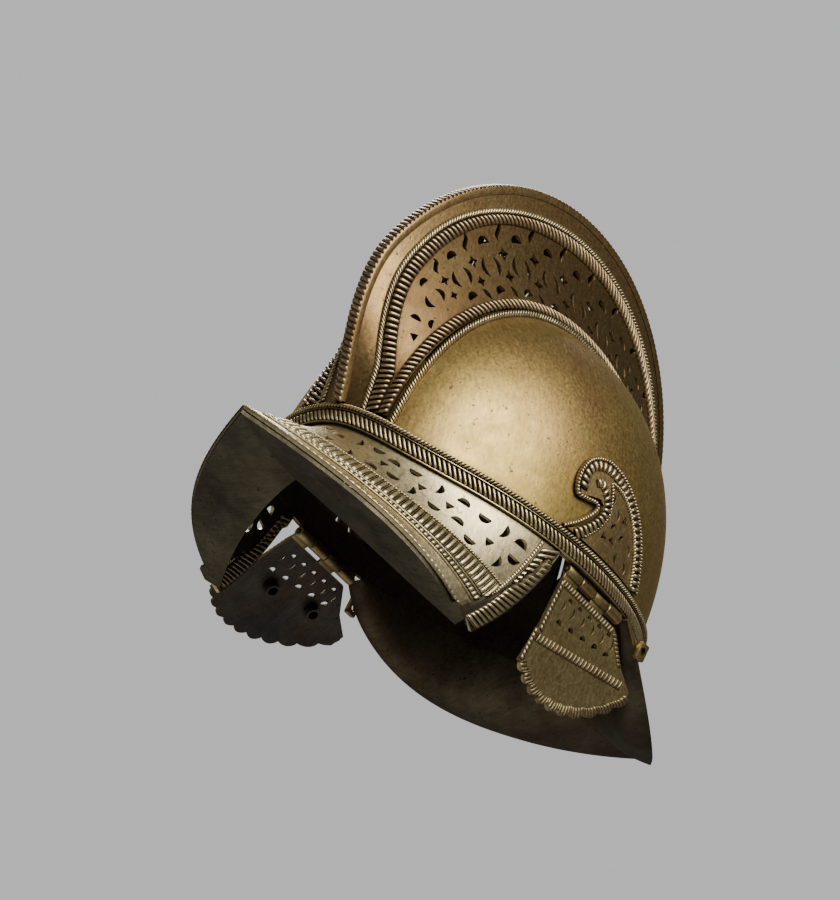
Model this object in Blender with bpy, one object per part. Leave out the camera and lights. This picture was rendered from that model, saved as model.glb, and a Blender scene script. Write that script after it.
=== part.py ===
# Brass morion helmet: raised skull, tall pierced comb, pierced peak, neck guard, hinged cheek pieces.
# +X is the wearer's left, -Y the front, +Z up. The origin is the middle of the head opening, at the
# height of the skull's lower edge above the ears.
import math

import bmesh
import bpy
from mathutils import Vector

for old in list(bpy.data.objects):
    bpy.data.objects.remove(old, do_unlink=True)

MM = 0.001
GAP = 0.3 * MM
SHEET = 1.8 * MM
PIERCED_SHEET = 1.6 * MM

# Skull: a superellipsoid shell, open below
SKULL_HALF_WIDTH = 86 * MM
SKULL_HALF_LENGTH = 107 * MM
SKULL_CENTRE_Y = 3 * MM
SKULL_HEIGHT = 119 * MM
SKULL_FULLNESS = 2.2
RIM_DROP = 2.5 * MM
FRONT_RISE = 8 * MM
FRONT_RISE_FOCUS = 10
SKULL_SEGMENTS = 36
SKULL_ROWS = 7

# Brow band round the skull
BAND_HEIGHT = 10.5 * MM
BAND_DEPTH = 3 * MM
BAND_ROPE = 2.5 * MM
BAND_SEGMENTS = 36

# Comb: each side is ruled from the arch on the skull to the crest outline
CREST_RADIUS = 123 * MM
CREST_CENTRE_Y = -6 * MM
CREST_CENTRE_Z = 50 * MM
FRONT_FOOT_Y = -106.5 * MM
REAR_FOOT_Y = 113.5 * MM
FOOT_LIFT = 1.5 * MM
FOOT_BLEND = math.radians(39)
COMB_TOP_HALF_WIDTH = 22 * MM
COMB_FOOT_HALF_WIDTH = 26 * MM
CREST_HALF_WIDTH = 4 * MM
CREST_FOOT_HALF_WIDTH = 2.6 * MM
COMB_HOLLOWING = 2.5 * MM
CREST_STRIP_OVERHANG = 0.7 * MM
CREST_STRIP_DEPTH = 3.6 * MM
CREST_STATIONS = 30
COMB_LENGTH = 330 * MM
COMB_WIDTH = 54 * MM
BORDER_WIDTH = 8 * MM
PLAIN_STRIP = 10 * MM
RELIEF = 1.3 * MM
RELIEF_STEP = 1 * MM
COMB_REPEATS = 9
COMB_PATTERN_START = 0.14
SLOT_MARGIN = 0.4 * MM
SEAT_LIFT = 1.3 * MM

# Peak and the crescent turned in beneath it
PEAK_END = math.radians(77)
PEAK_LENGTH = 140 * MM
PEAK_WIDTH = 55 * MM
PEAK_TIP = Vector((0, -159, -18.5)) * MM
PEAK_TIP_HANDLE = Vector((50, -124, -31)) * MM
PEAK_CORNER_HANDLE = Vector((86, -92, -43)) * MM
PEAK_CORNER = Vector((77.5, -47, -59.5)) * MM
FLANGE_MIDDLE = Vector((0, -110, -25.5)) * MM
FLANGE_MIDDLE_HANDLE = Vector((30, -97, -37.5)) * MM
FLANGE_CORNER_HANDLE = Vector((58, -72, -52)) * MM
PEAK_BEND_OUT = 0.3
PEAK_BEND_DOWN = 0.62
PEAK_COLUMNS = 7
PEAK_STAGGER = 4 * MM
PEAK_BORDER = 9 * MM
PEAK_STRIP = 7 * MM
PEAK_REAR_BORDER = 9 * MM

# Neck guard
GUARD_START = math.radians(108.5)
GUARD_FRONT = Vector((87.5, 36, -3)) * MM
GUARD_FRONT_HANDLE = Vector((92, 85, -42)) * MM
GUARD_TIP_HANDLE = Vector((44, 148, -30)) * MM
GUARD_TIP = Vector((0, 188, -3)) * MM
GUARD_BEND_OUT = 0.16
GUARD_DIP = 14 * MM
GUARD_STATIONS = 12

# Ear scrolls
SCROLL_THICKNESS = 1.5 * MM
SCROLL_BORDER = 3 * MM
SCROLL_HOLE = 2.1 * MM

# Hinges and cheek pieces
HINGE_MIDDLE_Y = 10.5 * MM
KNUCKLE_LENGTH = 11.2 * MM
KNUCKLE_RADIUS = 2.6 * MM
KNUCKLE_SIDES = 12
KNUCKLE_GAP = 0.4 * MM
PIN_RADIUS = 1.1 * MM
PIN_CLEARANCE = 0.35 * MM
PIN_END = 1.2 * MM
HINGE_X = 83.6 * MM
HINGE_DROP = 5.6 * MM
SADDLE_WIDTH = 3.2 * MM
SADDLE_THICKNESS = 1.1 * MM
WEB_THICKNESS = 1.4 * MM
CHEEK_THICKNESS = 1.6 * MM
CHEEK_TOP = 4.6 * MM
CHEEK_FRONT_REACH = 27 * MM
CHEEK_REAR_REACH = 54 * MM
CHEEK_DROP = 63 * MM
CHEEK_SCALLOPS = 10
SCALLOP_DEPTH = 2.4 * MM
CHEEK_STRIP_DROP = 31 * MM
CHEEK_STRIP_SLOPE = 0.19
CHEEK_STRIP_WIDTH = 4.4 * MM
CHEEK_STRIP_DEPTH = 0.9 * MM
SOCKET_RADIUS = 3.5 * MM
SOCKET_WALL = 1 * MM
SOCKET_HEIGHT = 5 * MM
RIGHT_CHEEK_SWING = math.radians(42)

# Loop at each front end of the neck guard
TAB_SIZE = Vector((2.8, 6.5, 8.5)) * MM
TAB_HOLE = 2 * MM


def brass(name, colour, roughness):
    material = bpy.data.materials.new(name)
    material.use_nodes = True
    shader = material.node_tree.nodes["Principled BSDF"]
    shader.inputs["Base Color"].default_value = (*colour, 1)
    shader.inputs["Metallic"].default_value = 1
    shader.inputs["Roughness"].default_value = roughness
    return material


OLIVE_BRASS = brass("olive_brass", (0.55, 0.43, 0.20), 0.38)
COPPERY_BRASS = brass("coppery_brass", (0.45, 0.28, 0.14), 0.42)
DARK_BRASS = brass("dark_brass", (0.20, 0.16, 0.09), 0.5)


def to_object(bm, name, material):
    """Makes one closed object of a bmesh."""
    bm.normal_update()
    bmesh.ops.recalc_face_normals(bm, faces=bm.faces[:])
    mesh = bpy.data.meshes.new(name)
    bm.to_mesh(mesh)
    bm.free()
    mesh.materials.append(material)
    obj = bpy.data.objects.new(name, mesh)
    bpy.context.scene.collection.objects.link(obj)
    return obj


def apply_boolean(obj, other, operation):
    """Cuts or joins other into obj, and removes other."""
    modifier = obj.modifiers.new(operation.lower(), "BOOLEAN")
    modifier.operation = operation
    modifier.solver = "EXACT"
    modifier.object = other
    graph = bpy.context.evaluated_depsgraph_get()
    mesh = bpy.data.meshes.new_from_object(obj.evaluated_get(graph))
    obj.modifiers.clear()
    obj.data = mesh
    bpy.data.objects.remove(other, do_unlink=True)


def bezier(points, t):
    """Point on the curve of three or four handles."""
    while len(points) > 1:
        points = [a.lerp(b, t) for a, b in zip(points, points[1:])]
    return points[0]


def smooth(t):
    t = min(1, max(0, t))
    return t * t * (3 - 2 * t)


def mirrored(point, side):
    return Vector((point.x * side, point.y, point.z))


# Flat drawing of a sheet, then bending it onto its surface

def fill(bm, loops):
    """Fills an outline in the flat drawing, round the holes that follow it."""
    edges = []
    for loop in loops:
        verts = [bm.verts.new((u, v, 0)) for u, v in loop]
        edges += [bm.edges.new(pair) for pair in zip(verts, verts[1:] + verts[:1])]
    bmesh.ops.triangle_fill(bm, use_beauty=True, normal=(0, 0, 1), edges=edges)


def flat_panel(outline, holes, u_cuts, v_cuts):
    """Flat sheet of a free outline, cut along the lines where it will bend."""
    bm = bmesh.new()
    fill(bm, [outline, *holes])
    for cuts, normal in ((u_cuts, Vector((1, 0, 0))), (v_cuts, Vector((0, 1, 0)))):
        for cut in cuts:
            geometry = bm.verts[:] + bm.edges[:] + bm.faces[:]
            bmesh.ops.bisect_plane(bm, geom=geometry, dist=1e-6, plane_co=normal * cut, plane_no=normal)
    bmesh.ops.triangulate(bm, faces=bm.faces[:])
    return bm


def flat_grid(columns, rows, holes=()):
    """Flat sheet of cells between rising columns and rows; each hole lies inside one cell."""
    bm = bmesh.new()
    for u0, u1 in zip(columns, columns[1:]):
        for v0, v1 in zip(rows, rows[1:]):
            inside = [hole for hole in holes if u0 < hole[0][0] < u1 and v0 < hole[0][1] < v1]
            fill(bm, [rectangle(u0, u1, v0, v1), *inside])
    bmesh.ops.remove_doubles(bm, verts=bm.verts[:], dist=1e-7)
    return bm


def bent_sheet(bm, place):
    """Gives a flat sheet its second face, and bends both faces: place(u, v, w) with w 0 outside, 1 inside."""
    made = bmesh.ops.extrude_face_region(bm, geom=bm.faces[:], use_keep_orig=True)
    for vert in made["geom"]:
        if isinstance(vert, bmesh.types.BMVert):
            vert.co.z = 1
    for vert in bm.verts:
        vert.co = place(*vert.co)


def rectangle(u0, u1, v0, v1):
    return [(u0, v0), (u1, v0), (u1, v1), (u0, v1)]


def spread(start, end, count):
    """Lines from start to end that cut the stretch into count parts."""
    return [start + (end - start) * i / count for i in range(count + 1)]


def half_moon(u, v, radius, turn):
    """Half disc with its flat side turned by an angle."""
    arc = [(math.cos(a), math.sin(a)) for a in (math.pi * k / 3 for k in range(4))]
    c, s = math.cos(turn), math.sin(turn)
    return [(u + radius * (x * c - y * s), v + radius * (x * s + y * c)) for x, y in arc]


def parenthesis(u, v, height, bulge):
    """Thin crescent, its back towards the sign of bulge."""
    tip, waist = height / 2, abs(bulge)
    way = math.copysign(1, bulge)
    shape = [(0, -tip), (waist, 0), (0, tip), (-0.15 * waist, 0)]
    return [(u + way * x, v + y) for x, y in shape]


# Skull

def skull_radii(offset):
    return SKULL_HALF_WIDTH + offset, SKULL_HALF_LENGTH + offset, SKULL_HEIGHT + offset


def rim_height(angle):
    """Height of the skull's lower edge, at an angle from the front round to the left."""
    return FRONT_RISE * max(0, math.cos(angle)) ** FRONT_RISE_FOCUS - RIM_DROP


def skull_at(angle, z, offset=0):
    """Point of the skull's outside at a height; below 0 its wall is upright."""
    width, length, height = skull_radii(offset)
    share = (1 - (max(z, 0) / height) ** SKULL_FULLNESS) ** (1 / SKULL_FULLNESS)
    return Vector((width * share * math.sin(angle), SKULL_CENTRE_Y - length * share * math.cos(angle), z))


def skull_side(y, z, offset=0):
    """Point of the skull's left side seen from the side."""
    width, length, height = skull_radii(offset)
    n = SKULL_FULLNESS
    across = (1 - (max(z, 0) / height) ** n) ** (2 / n) - ((y - SKULL_CENTRE_Y) / length) ** 2
    return Vector((width * math.sqrt(max(across, 0)), y, z))


def arch_point(side_angle, half_width, offset):
    """Point of the skull's top at half_width from the middle, at an angle seen from the side."""
    width, length, height = skull_radii(offset)
    n = SKULL_FULLNESS
    z = height * (1 - (half_width / width) ** n) ** (1 / n) * math.sin(side_angle) ** (2 / n)
    rim = (1 - (z / height) ** n) ** (2 / n)
    back = math.sqrt(max(rim - (half_width / width) ** 2, 0))
    return Vector((half_width, SKULL_CENTRE_Y - length * back * math.copysign(1, math.cos(side_angle)), z))


def skull_surface(bm):
    """Spins a quarter section of unit size, and gives every point its place on the skull."""
    steps = [math.pi / 2 * row / SKULL_ROWS for row in range(SKULL_ROWS + 1)]
    verts = [bm.verts.new((math.cos(a) if a < math.pi / 2 - 1e-6 else 0, 0, a)) for a in steps]
    edges = [bm.edges.new(pair) for pair in zip(verts, verts[1:])]
    bmesh.ops.spin(bm, geom=verts + edges, cent=(0, 0, 0), axis=(0, 0, 1), dvec=(0, 0, 0),
                   angle=2 * math.pi, steps=SKULL_SEGMENTS, use_merge=True, use_duplicate=False)
    bmesh.ops.remove_doubles(bm, verts=bm.verts[:], dist=1e-5)
    for vert in bm.verts:
        angle = math.atan2(vert.co.x, -vert.co.y)
        low = rim_height(angle)
        rise = math.sin(vert.co.z) ** (2 / SKULL_FULLNESS)
        vert.co = skull_at(angle, min(SKULL_HEIGHT, low + (SKULL_HEIGHT - low) * rise))


def slot_cutter():
    """Upright prism whose plan is the inside of the comb's foot."""
    bm = bmesh.new()
    line = [comb_arch(u / COMB_LENGTH, 0) for u in comb_columns()[2:-2]]
    plan = [(p.x - SLOT_MARGIN, p.y) for p in line] + [(-p.x + SLOT_MARGIN, p.y) for p in reversed(line)]
    verts = [bm.verts.new((x, y, SKULL_HEIGHT / 4)) for x, y in plan]
    face = bm.faces.new(verts)
    made = bmesh.ops.extrude_face_region(bm, geom=[face], use_keep_orig=True)
    raised = [v for v in made["geom"] if isinstance(v, bmesh.types.BMVert)]
    bmesh.ops.translate(bm, verts=raised, vec=(0, 0, SKULL_HEIGHT))
    return to_object(bm, "slot_cutter", DARK_BRASS)


def ear_cutter(side):
    """Prism through the skull's wall behind an ear scroll's pierced field."""
    bm = bmesh.new()
    verts = [bm.verts.new((side * SKULL_HALF_WIDTH * 0.6, y, z)) for y, z in SCROLL_FIELD]
    face = bm.faces.new(verts)
    made = bmesh.ops.extrude_face_region(bm, geom=[face], use_keep_orig=True)
    moved = [v for v in made["geom"] if isinstance(v, bmesh.types.BMVert)]
    bmesh.ops.translate(bm, verts=moved, vec=(side * SKULL_HALF_WIDTH, 0, 0))
    return to_object(bm, "ear_cutter", DARK_BRASS)


def make_skull():
    bm = bmesh.new()
    skull_surface(bm)
    bmesh.ops.recalc_face_normals(bm, faces=bm.faces[:])
    obj = to_object(bm, "skull", OLIVE_BRASS)
    wall = obj.modifiers.new("wall", "SOLIDIFY")
    wall.thickness = SHEET
    wall.offset = -1
    for cutter in (slot_cutter(), ear_cutter(1), ear_cutter(-1)):
        apply_boolean(obj, cutter, "DIFFERENCE")


# Comb

def foot_angle(z):
    """Angle on the skull, seen from the side, of a foot of the comb's lower edge at this height."""
    share = 1 - (COMB_FOOT_HALF_WIDTH / SKULL_HALF_WIDTH) ** SKULL_FULLNESS
    top = SKULL_HEIGHT * share ** (1 / SKULL_FULLNESS)
    return math.asin((z / top) ** (SKULL_FULLNESS / 2))


def comb_arch(share, offset):
    """Lower edge of the left comb side, from the front foot (0) to the rear foot (1)."""
    front = foot_angle(rim_height(0) + BAND_HEIGHT + GAP)
    rear = foot_angle(rim_height(math.pi) + BAND_HEIGHT + GAP)
    spread_out = (2 * share - 1) ** 2
    half_width = COMB_TOP_HALF_WIDTH + (COMB_FOOT_HALF_WIDTH - COMB_TOP_HALF_WIDTH) * spread_out
    return arch_point(front + (math.pi - front - rear) * share, half_width, offset)


def foot_polar(y, z):
    """Angle and radius of a foot of the crest outline, seen from the crest's centre."""
    ahead, up = CREST_CENTRE_Y - y, z - CREST_CENTRE_Z
    return math.atan2(up, ahead), math.hypot(ahead, up)


def crest_outline(share, outward=0):
    """Crest outline in the middle plane: a circle whose ends curl in to the feet."""
    front, front_radius = foot_polar(FRONT_FOOT_Y, rim_height(0) + BAND_HEIGHT + FOOT_LIFT)
    rear, rear_radius = foot_polar(REAR_FOOT_Y, rim_height(math.pi) + BAND_HEIGHT + FOOT_LIFT)
    rear += 2 * math.pi
    angle = front + (rear - front) * share
    radius = CREST_RADIUS
    radius += (front_radius - CREST_RADIUS) * (1 - smooth((angle - front) / FOOT_BLEND))
    radius += (rear_radius - CREST_RADIUS) * (1 - smooth((rear - angle) / FOOT_BLEND))
    radius += outward
    return Vector((0, CREST_CENTRE_Y - radius * math.cos(angle), CREST_CENTRE_Z + radius * math.sin(angle)))


def crest_half_width(share):
    """Half the crest's width, widest over the crown."""
    return CREST_FOOT_HALF_WIDTH + (CREST_HALF_WIDTH - CREST_FOOT_HALF_WIDTH) * math.sin(math.pi * share)


def comb_height(v, width):
    """Distance from the arch along a ruled line of this width, for a height v in the flat drawing."""
    panel = COMB_WIDTH - 2 * BORDER_WIDTH - PLAIN_STRIP
    fixed = width / COMB_WIDTH if width < COMB_WIDTH - panel else 1
    squeezed = (width - (COMB_WIDTH - panel) * fixed) / panel
    if v <= BORDER_WIDTH:
        return v * fixed
    if v <= BORDER_WIDTH + panel:
        return BORDER_WIDTH * fixed + (v - BORDER_WIDTH) * max(squeezed, fixed if fixed < 1 else 0)
    return width - (COMB_WIDTH - v) * fixed


def comb_surface(share, v, side):
    arch = comb_arch(share, SEAT_LIFT + (PIERCED_SHEET + GAP) * abs(2 * share - 1) ** 1.5)
    crest = crest_outline(share)
    crest.x = crest_half_width(share)
    width = (crest - arch).length
    up = comb_height(v, width) / width
    point = arch.lerp(crest, up)
    point.x -= COMB_HOLLOWING * math.sin(math.pi * min(max(up, 0), 1)) * math.sin(math.pi * share)
    return mirrored(point, side)


def surface_normal(surface, u, v, du, dv):
    """Outward normal of a surface by its two slopes, on the side away from the middle plane's inside."""
    along = surface(u + du, v) - surface(u - du, v)
    across = surface(u, v + dv) - surface(u, v - dv)
    return along.cross(across).normalized()


def comb_relief(v):
    """Raised border strips, one along the arch and one below the plain strip."""
    top = COMB_WIDTH - PLAIN_STRIP
    for low, high in ((0, BORDER_WIDTH), (top - BORDER_WIDTH, top)):
        if low + RELIEF_STEP / 2 < v < high - RELIEF_STEP / 2:
            return RELIEF
    return 0


def comb_columns():
    """Lines across the comb where it bends: between the repeats of its pattern, and at its plain ends."""
    start, pitch = COMB_LENGTH * COMB_PATTERN_START, comb_pitch()
    columns = [start + pitch * k for k in range(COMB_REPEATS + 1)]
    ends = spread(0, start, 3)[:-1]
    return ends + columns + [COMB_LENGTH - u for u in reversed(ends)]


def comb_pitch():
    return COMB_LENGTH * (1 - 2 * COMB_PATTERN_START) / COMB_REPEATS


def comb_holes():
    """Pairs of crescents along the panel, with a half moon above each pair."""
    middle = BORDER_WIDTH + (COMB_WIDTH - 2 * BORDER_WIDTH - PLAIN_STRIP) / 2
    holes = []
    for k in range(COMB_REPEATS):
        u = COMB_LENGTH * COMB_PATTERN_START + comb_pitch() * (k + 0.5)
        holes.append(parenthesis(u - 4 * MM, middle - 1.5 * MM, 9 * MM, -1.9 * MM))
        holes.append(parenthesis(u + 4 * MM, middle - 1.5 * MM, 9 * MM, 1.9 * MM))
        holes.append(half_moon(u, middle + 7 * MM, 2.8 * MM, 0))
    return holes


def make_comb_side(name, side):
    top = COMB_WIDTH - PLAIN_STRIP
    rows = [0, RELIEF_STEP, BORDER_WIDTH - RELIEF_STEP, BORDER_WIDTH]
    rows += [top - BORDER_WIDTH, top - BORDER_WIDTH + RELIEF_STEP, top - RELIEF_STEP, top, COMB_WIDTH]
    bm = flat_grid(comb_columns(), rows, comb_holes())

    def surface(share, v):
        return comb_surface(share, v, side)

    def place(u, v, w):
        share = u / COMB_LENGTH
        inner = min(max(v, 1 * MM), COMB_WIDTH - 1 * MM)
        normal = surface_normal(surface, min(max(share, 0.02), 0.98), inner, 0.01, 0.5 * MM)
        if normal.x * side < 0:
            normal = -normal
        return surface(share, v) + normal * (comb_relief(v) * (1 - w) - PIERCED_SHEET * w)

    bent_sheet(bm, place)
    return to_object(bm, name, COPPERY_BRASS)


def make_crest_edge():
    """Strip that follows the crest outline just outside the two comb sides."""
    stations = CREST_STATIONS
    bm = bmesh.new()
    section = ((-1, 0), (1, 0), (1, 0.6), (0.55, 1), (-0.55, 1), (-1, 0.6))
    rings = []
    for k in range(stations + 1):
        low = crest_outline(k / stations, 2 * GAP)
        high = crest_outline(k / stations, 2 * GAP + CREST_STRIP_DEPTH)
        half = crest_half_width(k / stations) + CREST_STRIP_OVERHANG
        ring = [bm.verts.new(low.lerp(high, up) + Vector((across * half, 0, 0))) for across, up in section]
        rings.append(ring)
    for a, b in zip(rings, rings[1:]):
        for i in range(len(section)):
            j = (i + 1) % len(section)
            bm.faces.new((a[i], a[j], b[j], b[i]))
    bm.faces.new(rings[0])
    bm.faces.new(rings[-1])
    bmesh.ops.triangulate(bm, faces=bm.faces[:])
    return to_object(bm, "crest_edge", COPPERY_BRASS)


# Brow band

def make_brow_band():
    """Ring round the skull's lower edge: a broad raised strip with a thin cord above it."""
    strip = BAND_HEIGHT - BAND_ROPE
    section = ((0, 0.3), (0.7, 0.3), (1, 1.6), (1, strip / MM - 1.3), (0.6, strip / MM), (0.85, strip / MM + 0.8),
               (0.85, BAND_HEIGHT / MM - 0.8), (0.5, BAND_HEIGHT / MM - 0.1), (0, BAND_HEIGHT / MM - 0.1))
    bm = bmesh.new()
    verts = [bm.verts.new((1 + 0.5 * MM + BAND_DEPTH * out, 0, up * MM)) for out, up in section]
    edges = [bm.edges.new(pair) for pair in zip(verts, verts[1:] + verts[:1])]
    bmesh.ops.spin(bm, geom=verts + edges, cent=(0, 0, 0), axis=(0, 0, 1), dvec=(0, 0, 0),
                   angle=2 * math.pi, steps=BAND_SEGMENTS, use_merge=True, use_duplicate=False)
    bmesh.ops.remove_doubles(bm, verts=bm.verts[:], dist=1e-6)
    for vert in bm.verts:
        angle = math.atan2(vert.co.x, -vert.co.y)
        outward = math.hypot(vert.co.x, vert.co.y) - 1
        base = skull_at(angle, 0, outward)
        vert.co = Vector((base.x, base.y, rim_height(angle) + vert.co.z))
    return to_object(bm, "brow_band", OLIVE_BRASS)


# Peak and flange

def peak_surface(s, v):
    """Point of the peak's top, s from -1 at the right end to 1 at the left, v from the band to the edge."""
    angle = PEAK_END * s
    root = skull_at(angle, 0, GAP)
    root.z = rim_height(angle) - GAP
    edge = peak_edge(s)
    bend = root + Vector(((edge.x - root.x) * PEAK_BEND_OUT, (edge.y - root.y) * PEAK_BEND_OUT,
                          (edge.z - root.z) * PEAK_BEND_DOWN))
    return bezier([root, bend, edge], v)


def peak_edge(s):
    return mirrored(bezier([PEAK_TIP, PEAK_TIP_HANDLE, PEAK_CORNER_HANDLE, PEAK_CORNER], abs(s)),
                    math.copysign(1, s))


def flange_edge(s):
    handles = [FLANGE_MIDDLE, FLANGE_MIDDLE_HANDLE, FLANGE_CORNER_HANDLE, PEAK_CORNER]
    return mirrored(bezier(handles, abs(s)), math.copysign(1, s))


def sheet_offset(surface, s, v, depth):
    """Point below a sheet's top by its thickness, square to the sheet, and kept to its own half."""
    half = math.copysign(1, s) if s else 1
    near = half * min(max(abs(s), 0.03), 0.97)
    across = min(max(v, 0.02), 0.98)
    normal = surface_normal(surface, near, across, 0.02, 0.02)
    if normal.z < 0:
        normal = -normal
    if abs(s) < 1e-6:
        normal.x = 0
    return surface(s, v) - normal * depth


def peak_column(k):
    """Distance from the middle ridge of the k-th column of the peak's pattern."""
    return (PEAK_LENGTH - PEAK_REAR_BORDER) * (k + 0.75) / (PEAK_COLUMNS + 0.5)


def peak_holes():
    """Two rows of half moons, turned up and down by turns."""
    last = PEAK_WIDTH - PEAK_BORDER - PEAK_STRIP
    holes = []
    for side in (-1, 1):
        for k in range(PEAK_COLUMNS):
            u = side * peak_column(k)
            turn = math.pi if k % 2 else 0
            holes.append(half_moon(u, last * 0.28, 3.4 * MM, turn))
            holes.append(half_moon(u - side * PEAK_STAGGER, last * 0.74, 3.4 * MM, math.pi - turn))
    return holes


def peak_relief(u, v):
    strip = PEAK_WIDTH - PEAK_STRIP
    if strip - PEAK_BORDER + RELIEF_STEP / 2 < v < strip - RELIEF_STEP / 2:
        return RELIEF
    if abs(u) > PEAK_LENGTH - PEAK_REAR_BORDER + RELIEF_STEP / 2 and v < strip:
        return RELIEF
    return 0


def make_peak():
    strip = PEAK_WIDTH - PEAK_STRIP
    rear = PEAK_LENGTH - PEAK_REAR_BORDER
    rows = [0, (strip - PEAK_BORDER) * 0.51, strip - PEAK_BORDER, strip - PEAK_BORDER + RELIEF_STEP,
            strip - RELIEF_STEP, strip, PEAK_WIDTH]
    columns = [0, rear, rear + RELIEF_STEP, PEAK_LENGTH]
    columns += [(peak_column(k) + peak_column(k + 1) - PEAK_STAGGER) / 2 for k in range(PEAK_COLUMNS - 1)]
    columns = sorted({side * c for c in columns for side in (-1, 1)})
    bm = flat_grid(columns, rows, peak_holes())

    def place(u, v, w):
        return sheet_offset(peak_surface, u / PEAK_LENGTH, v / PEAK_WIDTH,
                            SHEET * w - peak_relief(u, v) * (1 - w))

    bent_sheet(bm, place)
    return to_object(bm, "peak", OLIVE_BRASS)


def make_peak_flange():
    """Crescent under the peak, from its outer edge inwards."""
    reach = 0.93
    bm = flat_grid(spread(-reach, reach, 20), [0, 1])

    def place(u, v, w):
        outer = sheet_offset(peak_surface, u, 1, SHEET + GAP)
        inner = flange_edge(u)
        inner.z = min(inner.z, outer.z)
        point = outer.lerp(inner, v)
        point.z -= 0.3 * MM + SHEET * w
        return point

    bent_sheet(bm, place)
    return to_object(bm, "peak_flange", DARK_BRASS)


# Neck guard

def guard_surface(s, v):
    """Point of the guard's outside: s from -1 at the right front end over 0 at the back to 1."""
    side = math.copysign(1, s)
    angle = side * (math.pi + (GUARD_START - math.pi) * abs(s))
    root = skull_at(angle, 0, GAP)
    root.z = rim_height(angle) - GAP
    handles = [GUARD_TIP, GUARD_TIP_HANDLE, GUARD_FRONT_HANDLE, GUARD_FRONT]
    edge = mirrored(bezier(handles, abs(s)), side)
    bend = root.lerp(edge, GUARD_BEND_OUT)
    bend.z = min(root.z, edge.z) - GUARD_DIP * (1 - abs(s) ** 3)
    return bezier([root, bend, edge], v)


def make_neck_guard():
    bm = flat_grid(spread(-1, 1, 2 * GUARD_STATIONS), [0, 0.12, 0.28, 0.5, 0.75, 1])

    def place(u, v, w):
        return sheet_offset(guard_surface, u, v, SHEET * w)

    bent_sheet(bm, place)
    return to_object(bm, "neck_guard", OLIVE_BRASS)


# Ear scrolls, drawn as seen from the side: y, z in millimetres
SCROLL_OUTLINE = [(y * MM, z * MM) for y, z in (
    (-28, 9), (-19, 15), (-13, 21), (-9, 29), (-9, 37), (-13, 42), (-18, 40), (-19, 35), (-24, 34), (-27, 40),
    (-24, 48), (-14, 53), (-2, 52), (9, 47), (19, 39), (28, 30), (36, 19), (41, 9))]
SCROLL_FIELD = [(y * MM, z * MM) for y, z in (
    (-14, 12), (-7, 19), (-4, 28), (-3, 38), (-6, 44), (2, 44), (12, 38), (22, 28), (30, 17), (33, 12))]
SCROLL_HOLES = [(y * MM, z * MM) for y, z in (
    (-6, 15.5), (4, 16), (14, 16), (24, 16.5), (1, 25), (12, 25.5), (2, 34.5), (10, 34))]


def skull_plate(name, side, outline, holes, low, thickness):
    """Plate drawn as seen from the side, and laid on the skull from a height low above it."""
    lines = [c * MM for c in (-14, 4.5, 13, 21)], [c * MM for c in (24, 32, 42)]
    bm = flat_panel(outline, holes, *lines)

    def place(y, z, w):
        return mirrored(skull_side(y, z, low + thickness * (1 - w)), side)

    bent_sheet(bm, place)
    return to_object(bm, name, OLIVE_BRASS)


def grown(outline, share):
    """The outline, larger by a share about its middle."""
    middle = [sum(axis) / len(outline) for axis in zip(*outline)]
    return [tuple(m + (c - m) * (1 + share) for m, c in zip(middle, point)) for point in outline]


def make_scroll(name, side):
    """Raised border laid on the skull, with a pierced field joined into it."""
    holes = []
    for index, (y, z) in enumerate(SCROLL_HOLES):
        holes.append(half_moon(y, z, SCROLL_HOLE, math.radians(70 + 40 * (index % 3))))
    obj = skull_plate(name, side, SCROLL_OUTLINE, [SCROLL_FIELD], 2 * GAP, SCROLL_BORDER)
    field = skull_plate(name + "_field", side, grown(SCROLL_FIELD, 0.06), holes, 3 * GAP, SCROLL_THICKNESS)
    apply_boolean(obj, field, "UNION")
    return obj


# Hinges

def knuckle_start(index):
    """Front end of a knuckle, counted from the front."""
    return HINGE_MIDDLE_Y + (index - 2) * (KNUCKLE_LENGTH + KNUCKLE_GAP)


def knuckle(index, name):
    """Tube of one knuckle on the left hinge's axis, with its bore."""
    middle = Vector((HINGE_X, knuckle_start(index) + KNUCKLE_LENGTH / 2, -HINGE_DROP))
    tubes = []
    for radius, length in ((KNUCKLE_RADIUS, KNUCKLE_LENGTH), (PIN_RADIUS + PIN_CLEARANCE, KNUCKLE_LENGTH * 3)):
        bm = bmesh.new()
        bmesh.ops.create_cone(bm, cap_ends=True, segments=KNUCKLE_SIDES, radius1=radius, radius2=radius,
                              depth=length)
        for vert in bm.verts:
            vert.co = middle + Vector((vert.co.x, vert.co.z, vert.co.y))
        tubes.append(to_object(bm, name, OLIVE_BRASS))
    return tubes


def box(name, low, high):
    bm = bmesh.new()
    bmesh.ops.create_cube(bm, size=1)
    for vert in bm.verts:
        vert.co = Vector([a + (b - a) * (c + 0.5) for a, b, c in zip(low, high, vert.co)])
    return to_object(bm, name, OLIVE_BRASS)


def place_left_part(obj, side, swing=0):
    """Takes a piece made for the left side to its side, swung outwards about the hinge axis."""
    bm = bmesh.new()
    bm.from_mesh(obj.data)
    axis = Vector((HINGE_X, 0, -HINGE_DROP))
    c, s = math.cos(swing), math.sin(swing)
    for vert in bm.verts:
        x, z = vert.co.x - axis.x, vert.co.z - axis.z
        vert.co = Vector((side * (axis.x + x * c - z * s), vert.co.y, axis.z + x * s + z * c))
    if side < 0:
        bmesh.ops.reverse_faces(bm, faces=bm.faces[:])
    bm.to_mesh(obj.data)
    bm.free()


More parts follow.
